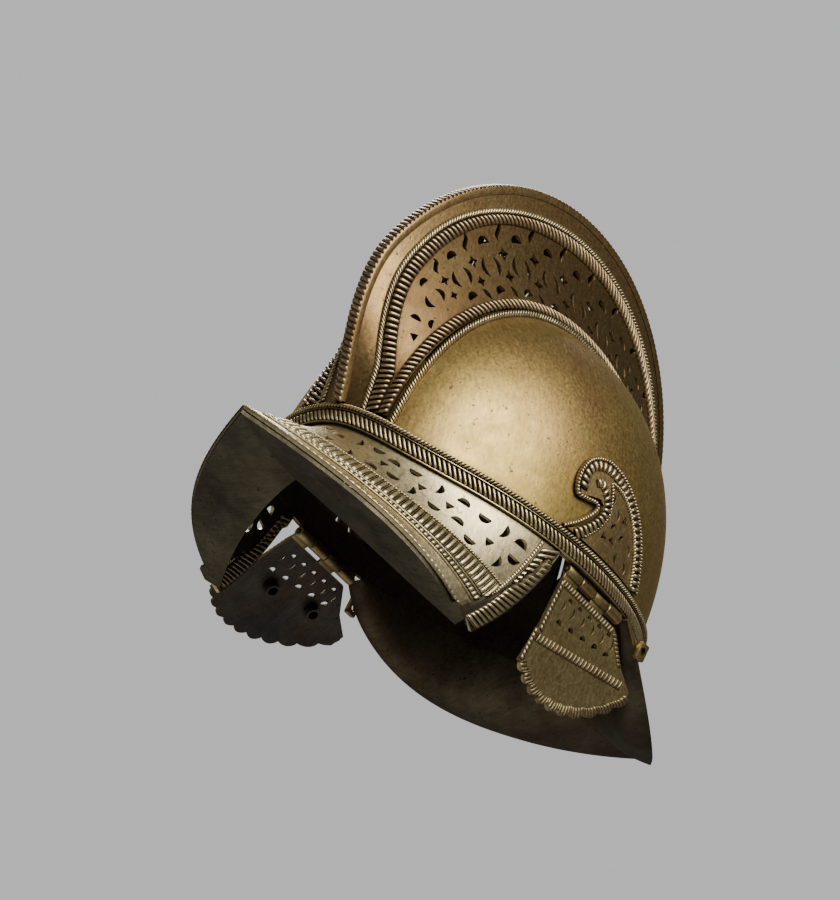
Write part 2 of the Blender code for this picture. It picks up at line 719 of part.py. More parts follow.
def make_hinge_knuckle(name, index, side):
    """One of the skull's own knuckles, with the flat saddle that holds it under the rim."""
    tube, bore = knuckle(index, name)
    start, top = knuckle_start(index), -RIM_DROP - GAP
    saddle = box(name + "_saddle", (HINGE_X - SADDLE_WIDTH / 2, start, top - SADDLE_THICKNESS),
                 (HINGE_X + SADDLE_WIDTH / 2, start + KNUCKLE_LENGTH, top))
    apply_boolean(tube, saddle, "UNION")
    apply_boolean(tube, bore, "DIFFERENCE")
    place_left_part(tube, side)


def make_pin(name, side):
    bm = bmesh.new()
    length = 4 * KNUCKLE_LENGTH + 3 * KNUCKLE_GAP + 2 * PIN_END
    bmesh.ops.create_cone(bm, cap_ends=True, segments=KNUCKLE_SIDES, radius1=PIN_RADIUS, radius2=PIN_RADIUS,
                          depth=length)
    middle = Vector((HINGE_X, HINGE_MIDDLE_Y, -HINGE_DROP))
    for vert in bm.verts:
        vert.co = middle + Vector((vert.co.x, vert.co.z, vert.co.y))
    pin = to_object(bm, name, DARK_BRASS)
    place_left_part(pin, side)
    return pin


# Cheek pieces

def cheek_outline():
    """Outline of the plate, measured from the hinge's middle and its axis: along y and down z."""
    front, rear, drop = CHEEK_FRONT_REACH, CHEEK_REAR_REACH, CHEEK_DROP
    top = -CHEEK_TOP
    line = [(-0.86 * front, top), (-0.88 * front, -0.45 * drop), (-front, -0.80 * drop)]
    low = [Vector((-front, -0.80 * drop)), Vector((-0.35 * front, -1.06 * drop)),
           Vector((0.55 * rear, -0.95 * drop)), Vector((rear, -0.40 * drop))]
    for k in range(1, 2 * CHEEK_SCALLOPS):
        t = k / (2 * CHEEK_SCALLOPS)
        point = bezier(low, t)
        inward = (Vector((0.1 * rear, -0.4 * drop)) - point).normalized()
        point = point + inward * (0 if k % 2 else SCALLOP_DEPTH)
        line.append((point.x, point.y))
    line += [(rear, -0.40 * drop), (0.68 * rear, -0.26 * drop), (0.42 * rear, top)]
    return line


def cheek_holes():
    """Two rows of short slits and half moons in the field under the hinge."""
    holes = []
    for k in range(6):
        y = (-16 + 8.2 * k) * MM
        holes.append(parenthesis(y, (-15.5 + 0.5 * k) * MM, 5.5 * MM, 1.7 * MM))
    for k in range(4):
        y = (-10 + 10 * k) * MM
        holes.append(half_moon(y, (-23.5 + 1.2 * k) * MM, 2.2 * MM, 0))
    return holes


def make_cheek(name, side, swing):
    outline = cheek_outline()
    bm = flat_panel(outline, cheek_holes(), [], [])
    made = bmesh.ops.extrude_face_region(bm, geom=bm.faces[:], use_keep_orig=True)
    for vert in made["geom"]:
        if isinstance(vert, bmesh.types.BMVert):
            vert.co.z = 1
    for vert in bm.verts:
        y, z, w = vert.co
        x = HINGE_X + CHEEK_THICKNESS * (0.5 - w)
        vert.co = Vector((x, HINGE_MIDDLE_Y + y, -HINGE_DROP + z))
    plate = to_object(bm, name, OLIVE_BRASS)
    join_cheek_strip(plate)
    bores = []
    for index in (0, 2):
        tube, bore = knuckle(index, name + "_tube")
        start = knuckle_start(index)
        web = box(name + "_web",
                  (HINGE_X - WEB_THICKNESS / 2, start, -HINGE_DROP - CHEEK_TOP - WEB_THICKNESS),
                  (HINGE_X + WEB_THICKNESS / 2, start + KNUCKLE_LENGTH,
                   -HINGE_DROP - PIN_RADIUS - 2 * PIN_CLEARANCE))
        apply_boolean(plate, tube, "UNION")
        apply_boolean(plate, web, "UNION")
        bores.append(bore)
    for y, z in ((-6, -29), (22, -24)):
        apply_boolean(plate, socket(y * MM, z * MM), "UNION")
    for bore in bores:
        apply_boolean(plate, bore, "DIFFERENCE")
    place_left_part(plate, side, swing)
    return plate


def cheek_strip_height(y):
    """Height of the middle of the cheek piece's raised strip, below the hinge's axis."""
    return CHEEK_STRIP_SLOPE * y - CHEEK_STRIP_DROP


def join_cheek_strip(plate):
    """Raised strip across the outside of the plate."""
    front, rear = -0.82 * CHEEK_FRONT_REACH, 0.73 * CHEEK_REAR_REACH
    strip = box("cheek_strip", (HINGE_X, HINGE_MIDDLE_Y + front, -HINGE_DROP - CHEEK_STRIP_WIDTH / 2),
                (HINGE_X + CHEEK_THICKNESS / 2 + CHEEK_STRIP_DEPTH, HINGE_MIDDLE_Y + rear,
                 -HINGE_DROP + CHEEK_STRIP_WIDTH / 2))
    for vert in strip.data.vertices:
        vert.co.z += cheek_strip_height(vert.co.y - HINGE_MIDDLE_Y)
    apply_boolean(plate, strip, "UNION")


def socket(y, z):
    """Short tube on the inner face of a cheek piece."""
    tubes = []
    for radius, length in ((SOCKET_RADIUS, SOCKET_HEIGHT), (SOCKET_RADIUS - SOCKET_WALL, SOCKET_HEIGHT)):
        bm = bmesh.new()
        bmesh.ops.create_cone(bm, cap_ends=True, segments=KNUCKLE_SIDES, radius1=radius, radius2=radius,
                              depth=length)
        start = HINGE_X - CHEEK_THICKNESS / 2 - (0 if not tubes else 0.4 * MM)
        for vert in bm.verts:
            vert.co = Vector((start - vert.co.z - length / 2 + 0.4 * MM, HINGE_MIDDLE_Y + y + vert.co.x,
                              -HINGE_DROP + z + vert.co.y))
        tubes.append(to_object(bm, "socket", OLIVE_BRASS))
    apply_boolean(tubes[0], tubes[1], "DIFFERENCE")
    return tubes[0]


def make_tab(name, side):
    """Upright loop beside the front end of the neck guard."""
    low = Vector((GUARD_FRONT.x + 1.6 * MM, GUARD_FRONT.y + 10 * MM, -16.5 * MM))
    tab = box(name, low, low + TAB_SIZE)
    middle = low + TAB_SIZE / 2
    hole = box(name + "_hole", middle - Vector((TAB_SIZE.x, TAB_HOLE, TAB_HOLE)),
               middle + Vector((TAB_SIZE.x, TAB_HOLE, TAB_HOLE)))
    apply_boolean(tab, hole, "DIFFERENCE")
    place_left_part(tab, side)
    return tab


make_skull()
make_brow_band()
make_comb_side("comb_left", 1)
make_comb_side("comb_right", -1)
make_crest_edge()
make_peak()
make_peak_flange()
make_neck_guard()
for hand, sign, swing_out in (("left", 1, 0), ("right", -1, RIGHT_CHEEK_SWING)):
    make_scroll("scroll_" + hand, sign)
    make_hinge_knuckle("knuckle_front_" + hand, 1, sign)
    make_hinge_knuckle("knuckle_rear_" + hand, 3, sign)
    make_pin("hinge_pin_" + hand, sign)
    make_cheek("cheek_" + hand, sign, swing_out)
    make_tab("tab_" + hand, sign)
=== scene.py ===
import math

import bmesh
import bpy
import numpy as np
from mathutils import Matrix, Vector


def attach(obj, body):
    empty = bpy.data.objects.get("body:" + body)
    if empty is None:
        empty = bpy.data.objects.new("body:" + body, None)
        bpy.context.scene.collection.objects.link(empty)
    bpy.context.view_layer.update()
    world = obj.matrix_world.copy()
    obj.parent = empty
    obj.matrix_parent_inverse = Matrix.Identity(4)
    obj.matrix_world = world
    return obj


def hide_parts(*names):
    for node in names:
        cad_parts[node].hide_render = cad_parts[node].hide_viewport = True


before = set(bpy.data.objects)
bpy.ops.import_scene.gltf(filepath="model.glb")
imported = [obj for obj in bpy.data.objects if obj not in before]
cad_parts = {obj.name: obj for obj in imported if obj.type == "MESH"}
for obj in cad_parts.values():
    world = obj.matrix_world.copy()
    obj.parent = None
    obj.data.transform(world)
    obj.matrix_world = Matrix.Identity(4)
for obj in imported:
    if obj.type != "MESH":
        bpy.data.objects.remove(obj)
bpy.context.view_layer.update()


# Skull: the raised bowl of the helmet, hammered up from one sheet of yellow brass and hollow below.
# A long slot on top opens it into the comb, and a window lies behind each pierced ear scroll.
# Its metal is olive where it is dull, pale where it is rubbed, and coppery near the comb.
MM = 0.001
SHEET = 1.8 * MM
SKULL_HALF_WIDTH, SKULL_HALF_LENGTH, SKULL_HEIGHT = 86 * MM, 107 * MM, 119 * MM
SKULL_CENTRE_Y = 3 * MM
SKULL_FULLNESS = 2.2
RIM_DROP, FRONT_RISE, FRONT_RISE_FOCUS = 2.5 * MM, 8 * MM, 10
BAND_HEIGHT = 10.5 * MM
ARCH_TOP_HALF_WIDTH, ARCH_FOOT_HALF_WIDTH = 22 * MM, 26 * MM
SKULL_SEGMENTS, SKULL_ROWS = 160, 40
SLOT_SHARES = (0.0933, 0.9067)
SCROLL_FIELD = [(y * MM, z * MM) for y, z in (
    (-14, 12), (-8, 20), (-5, 28), (-4, 37), (-7, 43), (2, 43.5), (12, 38), (21, 29), (28, 18), (31, 12))]


def new_nodes(tree, *kinds):
    return [tree.nodes.new("ShaderNode" + kind) for kind in kinds]


def old_brass_group():
    """Colour, roughness and small relief of old brass: dull blotches, copper stains, pits, and painted shade in
    occluded corners and rib grooves.
    """
    group = bpy.data.node_groups.new("old_brass", "ShaderNodeTree")
    for name, kind, value in (
            ("Place", "Vector", (0, 0, 0)), ("Rubbed", "Color", (0.60, 0.46, 0.22, 1)),
            ("Dull", "Color", (0.30, 0.23, 0.10, 1)), ("Copper", "Color", (0.42, 0.22, 0.11, 1)),
            ("Shade_and_pits_colour", "Color", (0.020, 0.015, 0.009, 1)), ("Dulled", "Float", 0.5), ("Coppered", "Float", 0.3),
            ("Dirty", "Float", 0.5), ("Groove_shade", "Float", 0.0), ("Polish", "Float", 0.32)):
        socket = group.interface.new_socket(name=name, in_out="INPUT", socket_type="NodeSocket" + kind)
        socket.default_value = value
    for name, kind in (("Colour", "Color"), ("Roughness", "Float"), ("Height", "Float")):
        group.interface.new_socket(name=name, in_out="OUTPUT", socket_type="NodeSocket" + kind)
    links = group.links
    given, out = group.nodes.new("NodeGroupInput"), group.nodes.new("NodeGroupOutput")

    def noise(scale, detail, rough=0.6, twist=0.0, stretch=None):
        node = group.nodes.new("ShaderNodeTexNoise")
        for name, value in (("Scale", scale), ("Detail", detail), ("Roughness", rough), ("Distortion", twist)):
            node.inputs[name].default_value = value
        source = given.outputs["Place"]
        if stretch:
            mapping = group.nodes.new("ShaderNodeMapping")
            mapping.inputs["Scale"].default_value = stretch
            mapping.inputs["Rotation"].default_value = (0.4, 0.7, 0.3)
            links.new(source, mapping.inputs["Vector"])
            source = mapping.outputs["Vector"]
        links.new(source, node.inputs["Vector"])
        return node.outputs["Fac"]

    def spread(value, low, high, new_low=0.0, new_high=1.0):
        node = group.nodes.new("ShaderNodeMapRange")
        for name, edge in (("From Min", low), ("From Max", high), ("To Min", new_low), ("To Max", new_high)):
            node.inputs[name].default_value = edge
        links.new(value, node.inputs["Value"])
        return node.outputs["Result"]

    def give(value, socket):
        if isinstance(value, (int, float)):
            socket.default_value = value
        else:
            links.new(value, socket)

    def sum_of(kind, a, b, clamp=False):
        node = group.nodes.new("ShaderNodeMath")
        node.operation = kind
        node.use_clamp = clamp
        give(a, node.inputs[0])
        give(b, node.inputs[1])
        return node.outputs["Value"]

    def scaled(value, amount):
        return sum_of("MULTIPLY", value, amount)

    def mixed(share, a, b, kind="MIX"):
        node = group.nodes.new("ShaderNodeMix")
        node.data_type = "RGBA"
        node.blend_type = kind
        for name, value in (("Factor", share), ("A", a), ("B", b)):
            give(value, node.inputs[name])
        return node.outputs["Result"]

    broad, mottle, stains = noise(20, 5, 0.62, 0.4), noise(95, 6, 0.68, 0.3), noise(13, 4, 0.6, 1.1)
    grain, brushed = noise(620, 4, 0.7), noise(1, 3, 0.6, 0, (90, 900, 260))
    dulled, dirty = given.outputs["Dulled"], given.outputs["Dirty"]
    patches = sum_of("ADD", scaled(broad, 0.65), scaled(mottle, 0.35))
    dull = sum_of("ADD", scaled(spread(patches, 0.38, 0.62), dulled), scaled(dulled, 0.3), True)
    blots = sum_of("ADD", scaled(stains, 0.7), scaled(mottle, 0.3))
    copper = sum_of("MULTIPLY", spread(blots, 0.42, 0.66), given.outputs["Coppered"], True)
    # Painted shade: an occlusion probe darkens corners and narrow hollows towards one dark colour, mottled by noise.
    occlusion = group.nodes.new("ShaderNodeAmbientOcclusion")
    occlusion.samples = 6
    occlusion.inputs["Distance"].default_value = 4.5 * MM
    occluded_shade = spread(occlusion.outputs["AO"], 0.30, 0.88, 1.0, 0.0)
    dirt = scaled(scaled(occluded_shade, dirty), spread(mottle, 0.2, 0.6, 0.7, 1.2))
    # Painted shade in the grooves between ribs and at the strips' low sides, read from a per-vertex attribute.
    mottled_groove_shade = scaled(given.outputs["Groove_shade"], spread(mottle, 0.3, 0.7, 0.75, 1.0))
    # Real pits, as dark dots, share the dark mix with the painted shade.
    pits = spread(noise(330, 2, 0.5), 0.67, 0.73)
    dirt = sum_of("MAXIMUM", sum_of("ADD", dirt, mottled_groove_shade, True), scaled(pits, 0.5), True)
    streaks = spread(sum_of("ADD", scaled(grain, 0.5), scaled(brushed, 0.5)), 0.3, 0.7, 0.60, 1.22)
    colour = mixed(dull, given.outputs["Rubbed"], given.outputs["Dull"])
    colour = mixed(copper, colour, given.outputs["Copper"])
    colour = mixed(1.0, colour, streaks, "MULTIPLY")
    colour = mixed(dirt, colour, given.outputs["Shade_and_pits_colour"])
    rough = sum_of("ADD", given.outputs["Polish"], scaled(dull, 0.12))
    rough = sum_of("ADD", rough, spread(grain, 0.3, 0.7, -0.04, 0.07))
    rough = sum_of("ADD", rough, scaled(dirt, 0.3), True)
    height = sum_of("ADD", scaled(grain, 0.35), scaled(brushed, 0.35))
    height = sum_of("SUBTRACT", sum_of("ADD", height, scaled(mottle, 0.9)), scaled(pits, 0.35))
    for name, value in (("Colour", colour), ("Roughness", rough), ("Height", height)):
        links.new(value, out.inputs[name])
    return group


OLD_BRASS = old_brass_group()


def brass(name, bump=0.3, **values):
    """A brass of its own: the shared patina and painted shade, with this piece's colours and amounts."""
    material = bpy.data.materials.new(name)
    material.use_nodes = True
    tree = material.node_tree
    shader = tree.nodes["Principled BSDF"]
    patina = tree.nodes.new("ShaderNodeGroup")
    patina.node_tree = OLD_BRASS
    # The attribute node reads the painted groove shade laid on the ribbed strips.
    place, groove_shade, relief = new_nodes(tree, "TexCoord", "Attribute", "Bump")
    groove_shade.attribute_name = "groove_shade"
    for key, value in values.items():
        socket = patina.inputs[key.capitalize()]
        socket.default_value = (*value, 1) if isinstance(value, tuple) else value
    tree.links.new(place.outputs["Object"], patina.inputs["Place"])
    tree.links.new(groove_shade.outputs["Fac"], patina.inputs["Groove_shade"])
    tree.links.new(patina.outputs["Colour"], shader.inputs["Base Color"])
    tree.links.new(patina.outputs["Roughness"], shader.inputs["Roughness"])
    relief.inputs["Strength"].default_value = bump
    relief.inputs["Distance"].default_value = 0.5 * MM
    tree.links.new(patina.outputs["Height"], relief.inputs["Height"])
    tree.links.new(relief.outputs["Normal"], shader.inputs["Normal"])
    shader.inputs["Metallic"].default_value = 0.96
    return material


def new_piece(bm, name, materials, body, stands_for=(), crease=40):
    """Turns a bmesh into a piece of the helmet that rides on a body."""
    bmesh.ops.remove_doubles(bm, verts=bm.verts[:], dist=1e-6)
    bmesh.ops.dissolve_degenerate(bm, edges=bm.edges[:], dist=1e-7)
    rims = [edge for edge in bm.edges if edge.is_boundary]
    if rims:
        bmesh.ops.holes_fill(bm, edges=rims, sides=0)
    bmesh.ops.recalc_face_normals(bm, faces=bm.faces[:])
    for face in bm.faces:
        face.smooth = True
    mesh = bpy.data.meshes.new(name)
    bm.to_mesh(mesh)
    bm.free()
    mesh.set_sharp_from_angle(angle=math.radians(crease))
    for material in materials:
        mesh.materials.append(material)
    obj = bpy.data.objects.new(name, mesh)
    bpy.context.scene.collection.objects.link(obj)
    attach(obj, body)
    if stands_for:
        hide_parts(*stands_for)
    return obj


def cut(bm, cutter, operation="DIFFERENCE"):
    """Cuts one bmesh with another and returns the result as a bmesh."""
    pair = []
    for shape in (bm, cutter):
        bmesh.ops.recalc_face_normals(shape, faces=shape.faces[:])
        mesh = bpy.data.meshes.new("working")
        shape.to_mesh(mesh)
        shape.free()
        pair.append(bpy.data.objects.new("working", mesh))
        bpy.context.scene.collection.objects.link(pair[-1])
    knife = pair[0].modifiers.new("knife", "BOOLEAN")
    knife.operation = operation
    knife.solver = "EXACT"
    knife.use_self = True
    knife.object = pair[1]
    graph = bpy.context.evaluated_depsgraph_get()
    done = bpy.data.meshes.new_from_object(pair[0].evaluated_get(graph))
    result = bmesh.new()
    result.from_mesh(done)
    bpy.data.meshes.remove(done)
    for obj in pair:
        mesh = obj.data
        bpy.data.objects.remove(obj, do_unlink=True)
        bpy.data.meshes.remove(mesh)
    return result


def made_verts(made):
    """The new points among what an operator made."""
    return [item for item in made["geom"] if isinstance(item, bmesh.types.BMVert)]


def skull_radii(offset):
    return SKULL_HALF_WIDTH + offset, SKULL_HALF_LENGTH + offset, SKULL_HEIGHT + offset


def rim_height(angle):
    """Height of the skull's lower edge, at an angle from the front round to the left."""
    return FRONT_RISE * max(0, math.cos(angle)) ** FRONT_RISE_FOCUS - RIM_DROP


def skull_at(angle, z, offset=0.0):
    width, length, height = skull_radii(offset)
    share = (1 - (max(z, 0) / height) ** SKULL_FULLNESS) ** (1 / SKULL_FULLNESS)
    return Vector((width * share * math.sin(angle), SKULL_CENTRE_Y - length * share * math.cos(angle), z))


def skull_normal(point):
    """Direction out of the skull at a point on it."""
    n = SKULL_FULLNESS
    across, along = point.x / SKULL_HALF_WIDTH, (point.y - SKULL_CENTRE_Y) / SKULL_HALF_LENGTH
    round_about = math.hypot(across, along) ** (n - 2)
    return Vector((round_about * across / SKULL_HALF_WIDTH, round_about * along / SKULL_HALF_LENGTH,
                   (max(point.z, 0) / SKULL_HEIGHT) ** (n - 1) / SKULL_HEIGHT)).normalized()


def arch_point(side_angle, half_width, offset):
    width, length, height = skull_radii(offset)
    n = SKULL_FULLNESS
    z = height * (1 - (half_width / width) ** n) ** (1 / n) * math.sin(side_angle) ** (2 / n)
    rim = (1 - (z / height) ** n) ** (2 / n)
    back = math.sqrt(max(rim - (half_width / width) ** 2, 0))
    return Vector((half_width, SKULL_CENTRE_Y - length * back * math.copysign(1, math.cos(side_angle)), z))


def foot_angle(z):
    top = SKULL_HEIGHT * (1 - (ARCH_FOOT_HALF_WIDTH / SKULL_HALF_WIDTH) ** SKULL_FULLNESS) ** (1 / SKULL_FULLNESS)
    return math.asin((z / top) ** (SKULL_FULLNESS / 2))


def comb_arch(share, offset, wider=0.0):
    """Line on the skull under the comb's left side, from the front foot (0) to the rear foot (1)."""
    front = foot_angle(rim_height(0) + BAND_HEIGHT + 0.3 * MM)
    rear = foot_angle(rim_height(math.pi) + BAND_HEIGHT + 0.3 * MM)
    spread_out = (2 * share - 1) ** 2
    half_width = ARCH_TOP_HALF_WIDTH + (ARCH_FOOT_HALF_WIDTH - ARCH_TOP_HALF_WIDTH) * spread_out + wider
    return arch_point(front + (math.pi - front - rear) * share, half_width, offset)


def prism(outline, start, reach):
    """Closed prism of a plan outline, pushed by reach."""
    bm = bmesh.new()
    face = bm.faces.new([bm.verts.new(start(a, b)) for a, b in outline])
    made = bmesh.ops.extrude_face_region(bm, geom=[face], use_keep_orig=True)
    bmesh.ops.translate(bm, verts=made_verts(made), vec=reach)
    return bm


def make_skull():
    bm = bmesh.new()
    steps = [math.pi / 2 * row / SKULL_ROWS for row in range(SKULL_ROWS + 1)]
    verts = [bm.verts.new((math.cos(a) if a < math.pi / 2 - 1e-6 else 0, 0, a)) for a in steps]
    edges = [bm.edges.new(pair) for pair in zip(verts, verts[1:])]
    bmesh.ops.spin(bm, geom=verts + edges, cent=(0, 0, 0), axis=(0, 0, 1), dvec=(0, 0, 0),
                   angle=2 * math.pi, steps=SKULL_SEGMENTS, use_merge=True, use_duplicate=False)
    bmesh.ops.remove_doubles(bm, verts=bm.verts[:], dist=1e-5)
    for vert in bm.verts:
        angle = math.atan2(vert.co.x, -vert.co.y)
        low = rim_height(angle)
        rise = math.sin(vert.co.z) ** (2 / SKULL_FULLNESS)
        vert.co = skull_at(angle, min(SKULL_HEIGHT, low + (SKULL_HEIGHT - low) * rise))
    bmesh.ops.recalc_face_normals(bm, faces=bm.faces[:])
    bmesh.ops.solidify(bm, geom=bm.faces[:], thickness=SHEET)
    start, end = SLOT_SHARES
    slot_line = [comb_arch(start + (end - start) * k / 60, 0) for k in range(61)]
    plan = [(p.x - 0.4 * MM, p.y) for p in slot_line] + [(-p.x + 0.4 * MM, p.y) for p in reversed(slot_line)]
    bm = cut(bm, prism(plan, lambda x, y: (x, y, SKULL_HEIGHT / 4), (0, 0, SKULL_HEIGHT)))
    for reach in (-SKULL_HALF_WIDTH, SKULL_HALF_WIDTH):
        bm = cut(bm, prism(SCROLL_FIELD, lambda y, z: (0.6 * reach, y, z), (reach, 0, 0)))
    # Inner faces take the brass darkened as painted shade.
    for face in bm.faces:
        face.material_index = 1 if face.normal.dot(skull_normal(face.calc_center_median())) < 0 else 0
    return bm


YELLOW_BRASS = brass("yellow_brass_skull", 0.22, rubbed=(0.66, 0.47, 0.155), dull=(0.32, 0.225, 0.062),
                     copper=(0.42, 0.245, 0.105), dulled=0.7, coppered=0.5, dirty=0.75, polish=0.35)
# Painted shade: the insides of the skull and neck guard are the same brass with colours darkened to stand for the
# shade there.
SHADED_INSIDE_BRASS = brass("shade_darkened_inside", 0.5, rubbed=(0.15, 0.125, 0.075), dull=(0.06, 0.05, 0.032),
                     copper=(0.11, 0.055, 0.026), dulled=0.9, coppered=0.5, dirty=0.9, polish=0.48)


def warm_patch(tree, middle):
    """Makes the copper stains strong round one point of a material and weak away from it."""
    place, apart, warmth = new_nodes(tree, "TexCoord", "VectorMath", "MapRange")
    apart.operation = "DISTANCE"
    apart.inputs[1].default_value = middle
    for key, value in (("From Min", 18 * MM), ("From Max", 62 * MM), ("To Min", 1.2), ("To Max", 0.30)):
        warmth.inputs[key].default_value = value
    tree.links.new(place.outputs["Object"], apart.inputs[0])
    tree.links.new(apart.outputs["Value"], warmth.inputs["Value"])
    tree.links.new(warmth.outputs["Result"], tree.nodes["Group"].inputs["Coppered"])


warm_patch(YELLOW_BRASS.node_tree, Vector((60, -28, 86)) * MM)
new_piece(make_skull(), "skull_bowl", [YELLOW_BRASS, SHADED_INSIDE_BRASS], "root", ["skull"])


# Brow band: a strip cast with slanting ribs between two thin lines, with a twisted wire above it.
# It runs all round the skull's lower edge and is soldered to it.
BAND_RIBS = (0, 0.85, 1, 1, 0.85, 0, 0.5)
ROPE_RIBS = (0, 0.8, 1, 1, 0.8)
PLAIN_RIBS = (1,)


def both_edges(*half):
    """Full section of a strip, as (across, rise), from its first half."""
    return half + tuple((1 - across, rise) for across, rise in reversed(half))


HATCH_SECTION = both_edges((0, -0.2), (0.04, 0.55), (0.16, 0.92), (0.38, 1))
ROPE_SECTION = both_edges((0, -0.2), (0.02, 0.3), (0.14, 0.68), (0.34, 0.95))


def ruler(curve, stations=400):
    """Length of a curve of a share 0..1, and a function that gives the share at a distance."""
    points = np.array([curve(k / stations)[:] for k in range(stations + 1)])
    lengths = np.concatenate([[0], np.cumsum(np.linalg.norm(np.diff(points, axis=0), axis=1))])
    shares = np.linspace(0, 1, stations + 1)
    return float(lengths[-1]), lambda distance: float(np.interp(distance, lengths, shares))


def lay_strip(bm, surface, length, section, height, ribs, pitch, lean=0.0, groove=0.6, material=0, start=0.0):
    """Lays a closed strip of ribs on a surface: surface(distance, across 0..1) gives a point and its normal.

    Height, pitch and lean are in millimetres, length and start in metres; groove is the depth between ribs.
    """
    columns, rows = max(1, round(length / (pitch * MM))) * len(ribs), len(section)
    groove_shade = bm.verts.layers.float.get("groove_shade") or bm.verts.layers.float.new("groove_shade")
    grid = bmesh.ops.create_grid(bm, x_segments=columns, y_segments=rows, size=1)
    for vert in grid["verts"]:
        i = round((vert.co.x + 1) / 2 * columns)
        across, rise = section[round((vert.co.y + 1) / 2 * rows) % rows]
        rib = ribs[i % len(ribs)]
        point, normal = surface(start + length * i / columns + lean * MM * (across - 0.5), across)
        lift = height * MM * rise * (1 - groove * (1 - rib) if rise > 0 else 1)
        vert.co = point + normal * lift
        # Painted shade: darker in the grooves between ribs and down the low sides where a strip meets the surface.
        vert[groove_shade] = min(1, 0.85 * (1 - rib) + 0.7 * max(0, 0.55 - rise))
    for face in {face for vert in grid["verts"] for face in vert.link_faces}:
        face.material_index = material


def band_surface(low, high, out):
    """Strip of the brow band between two heights above the skull's lower edge."""
    def surface(distance, across):
        angle = 2 * math.pi * BAND_SHARE(distance % BAND_LENGTH)
        point = skull_at(angle, 0, out)
        point.z = rim_height(angle) + low + (high - low) * across
        return point, Vector((math.sin(angle), -math.cos(angle), 0))
    return surface


BAND_LENGTH, BAND_SHARE = ruler(lambda share: skull_at(2 * math.pi * share, 0, 2 * MM))
BAND_BRASS = brass("rubbed_band_brass", 0.25, rubbed=(0.80, 0.66, 0.38), dull=(0.44, 0.34, 0.15),
                   copper=(0.52, 0.29, 0.14), dulled=0.4, coppered=0.25, dirty=0.95, polish=0.30)


def make_brow_band():
    bm = bmesh.new()
    for low, high, out, *strip in (
            (0.3, 10.3, 0.4, HATCH_SECTION, 1.1, PLAIN_RIBS, 2.4, 0),
            (0.3, 1.1, 1.3, ROPE_SECTION, 1.0, PLAIN_RIBS, 2.4, 0),
            (1.1, 7.0, 1.3, HATCH_SECTION, 1.6, BAND_RIBS, 2.6, -3.9),
            (7.0, 7.6, 1.2, ROPE_SECTION, 1.5, PLAIN_RIBS, 2.4, 0),
            (7.7, 10.45, 1.2, ROPE_SECTION, 2.4, ROPE_RIBS, 1.9, 2.6)):
        lay_strip(bm, band_surface(low * MM, high * MM, out * MM), BAND_LENGTH, *strip, 0.55)
    return bm


new_piece(make_brow_band(), "brow_band_ribs", [BAND_BRASS], "root", ["brow_band"], 55)


# Comb sides: two tall pierced sheets of copper-coloured brass that lean together at the crest.
# Each is bordered below by cast ribs and a twisted wire on the skull, and above by a wire, ribs and a plain strip.
PIERCED_SHEET = 1.6 * MM
CREST_RADIUS = 123 * MM
CREST_CENTRE_Y, CREST_CENTRE_Z = -6 * MM, 50 * MM
FRONT_FOOT_Y, REAR_FOOT_Y, FOOT_LIFT = -106.5 * MM, 113.5 * MM, 1.5 * MM
FOOT_BLEND = math.radians(39)
CREST_HALF_WIDTH, CREST_FOOT_HALF_WIDTH = 4 * MM, 2.6 * MM
COMB_HOLLOWING = 2.5 * MM
FOOT_OVERLAP = 0.006
COMB_LENGTH, COMB_WIDTH = 330 * MM, 54 * MM
STATIONS = 300
COPPER_BRASS = brass("coppery_comb_brass", 0.36, rubbed=(0.27, 0.185, 0.078), dull=(0.105, 0.072, 0.028),
                     copper=(0.19, 0.105, 0.045), dulled=0.8, coppered=0.7, dirty=0.9, polish=0.37)
COMB_RIB_BRASS = brass("worn_comb_ribs", 0.25, rubbed=(0.60, 0.46, 0.26), dull=(0.27, 0.19, 0.09),
                       copper=(0.46, 0.25, 0.12), dulled=0.45, coppered=0.4, dirty=0.95, polish=0.33)
PLAIN_STRIP_BRASS = brass("pale_comb_strip", 0.3, rubbed=(0.42, 0.295, 0.125), dull=(0.19, 0.125, 0.048),
                          copper=(0.34, 0.18, 0.075), dulled=0.55, coppered=0.6, dirty=0.8, polish=0.33)


def smooth(t):
    t = min(1, max(0, t))
    return t * t * (3 - 2 * t)


def crest_outline(share, outward=0.0):
    """Crest outline in the middle plane: a circle whose ends curl in to the feet."""
    feet = []
    for y, angle in ((FRONT_FOOT_Y, 0), (REAR_FOOT_Y, math.pi)):
        ahead, up = CREST_CENTRE_Y - y, rim_height(angle) + BAND_HEIGHT + FOOT_LIFT - CREST_CENTRE_Z
        feet.append((math.atan2(up, ahead) + 2 * angle, math.hypot(ahead, up)))
    (front, front_radius), (rear, rear_radius) = feet
    angle = front + (rear - front) * share
    radius = CREST_RADIUS + outward
    radius += (front_radius - CREST_RADIUS) * (1 - smooth((angle - front) / FOOT_BLEND))
    radius += (rear_radius - CREST_RADIUS) * (1 - smooth((rear - angle) / FOOT_BLEND))
    return Vector((0, CREST_CENTRE_Y - radius * math.cos(angle), CREST_CENTRE_Z + radius * math.sin(angle)))


def crest_half_width(share):
    return CREST_FOOT_HALF_WIDTH + (CREST_HALF_WIDTH - CREST_FOOT_HALF_WIDTH) * math.sin(math.pi * share)


def line_of(curve):
    return [curve(k / STATIONS) for k in range(STATIONS + 1)]


def on_line(line, share):
    place = min(max(share, -0.01), 1.01) * STATIONS
    k = min(max(int(place), 0), STATIONS - 1)
    return line[k] + (line[k + 1] - line[k]) * (place - k)


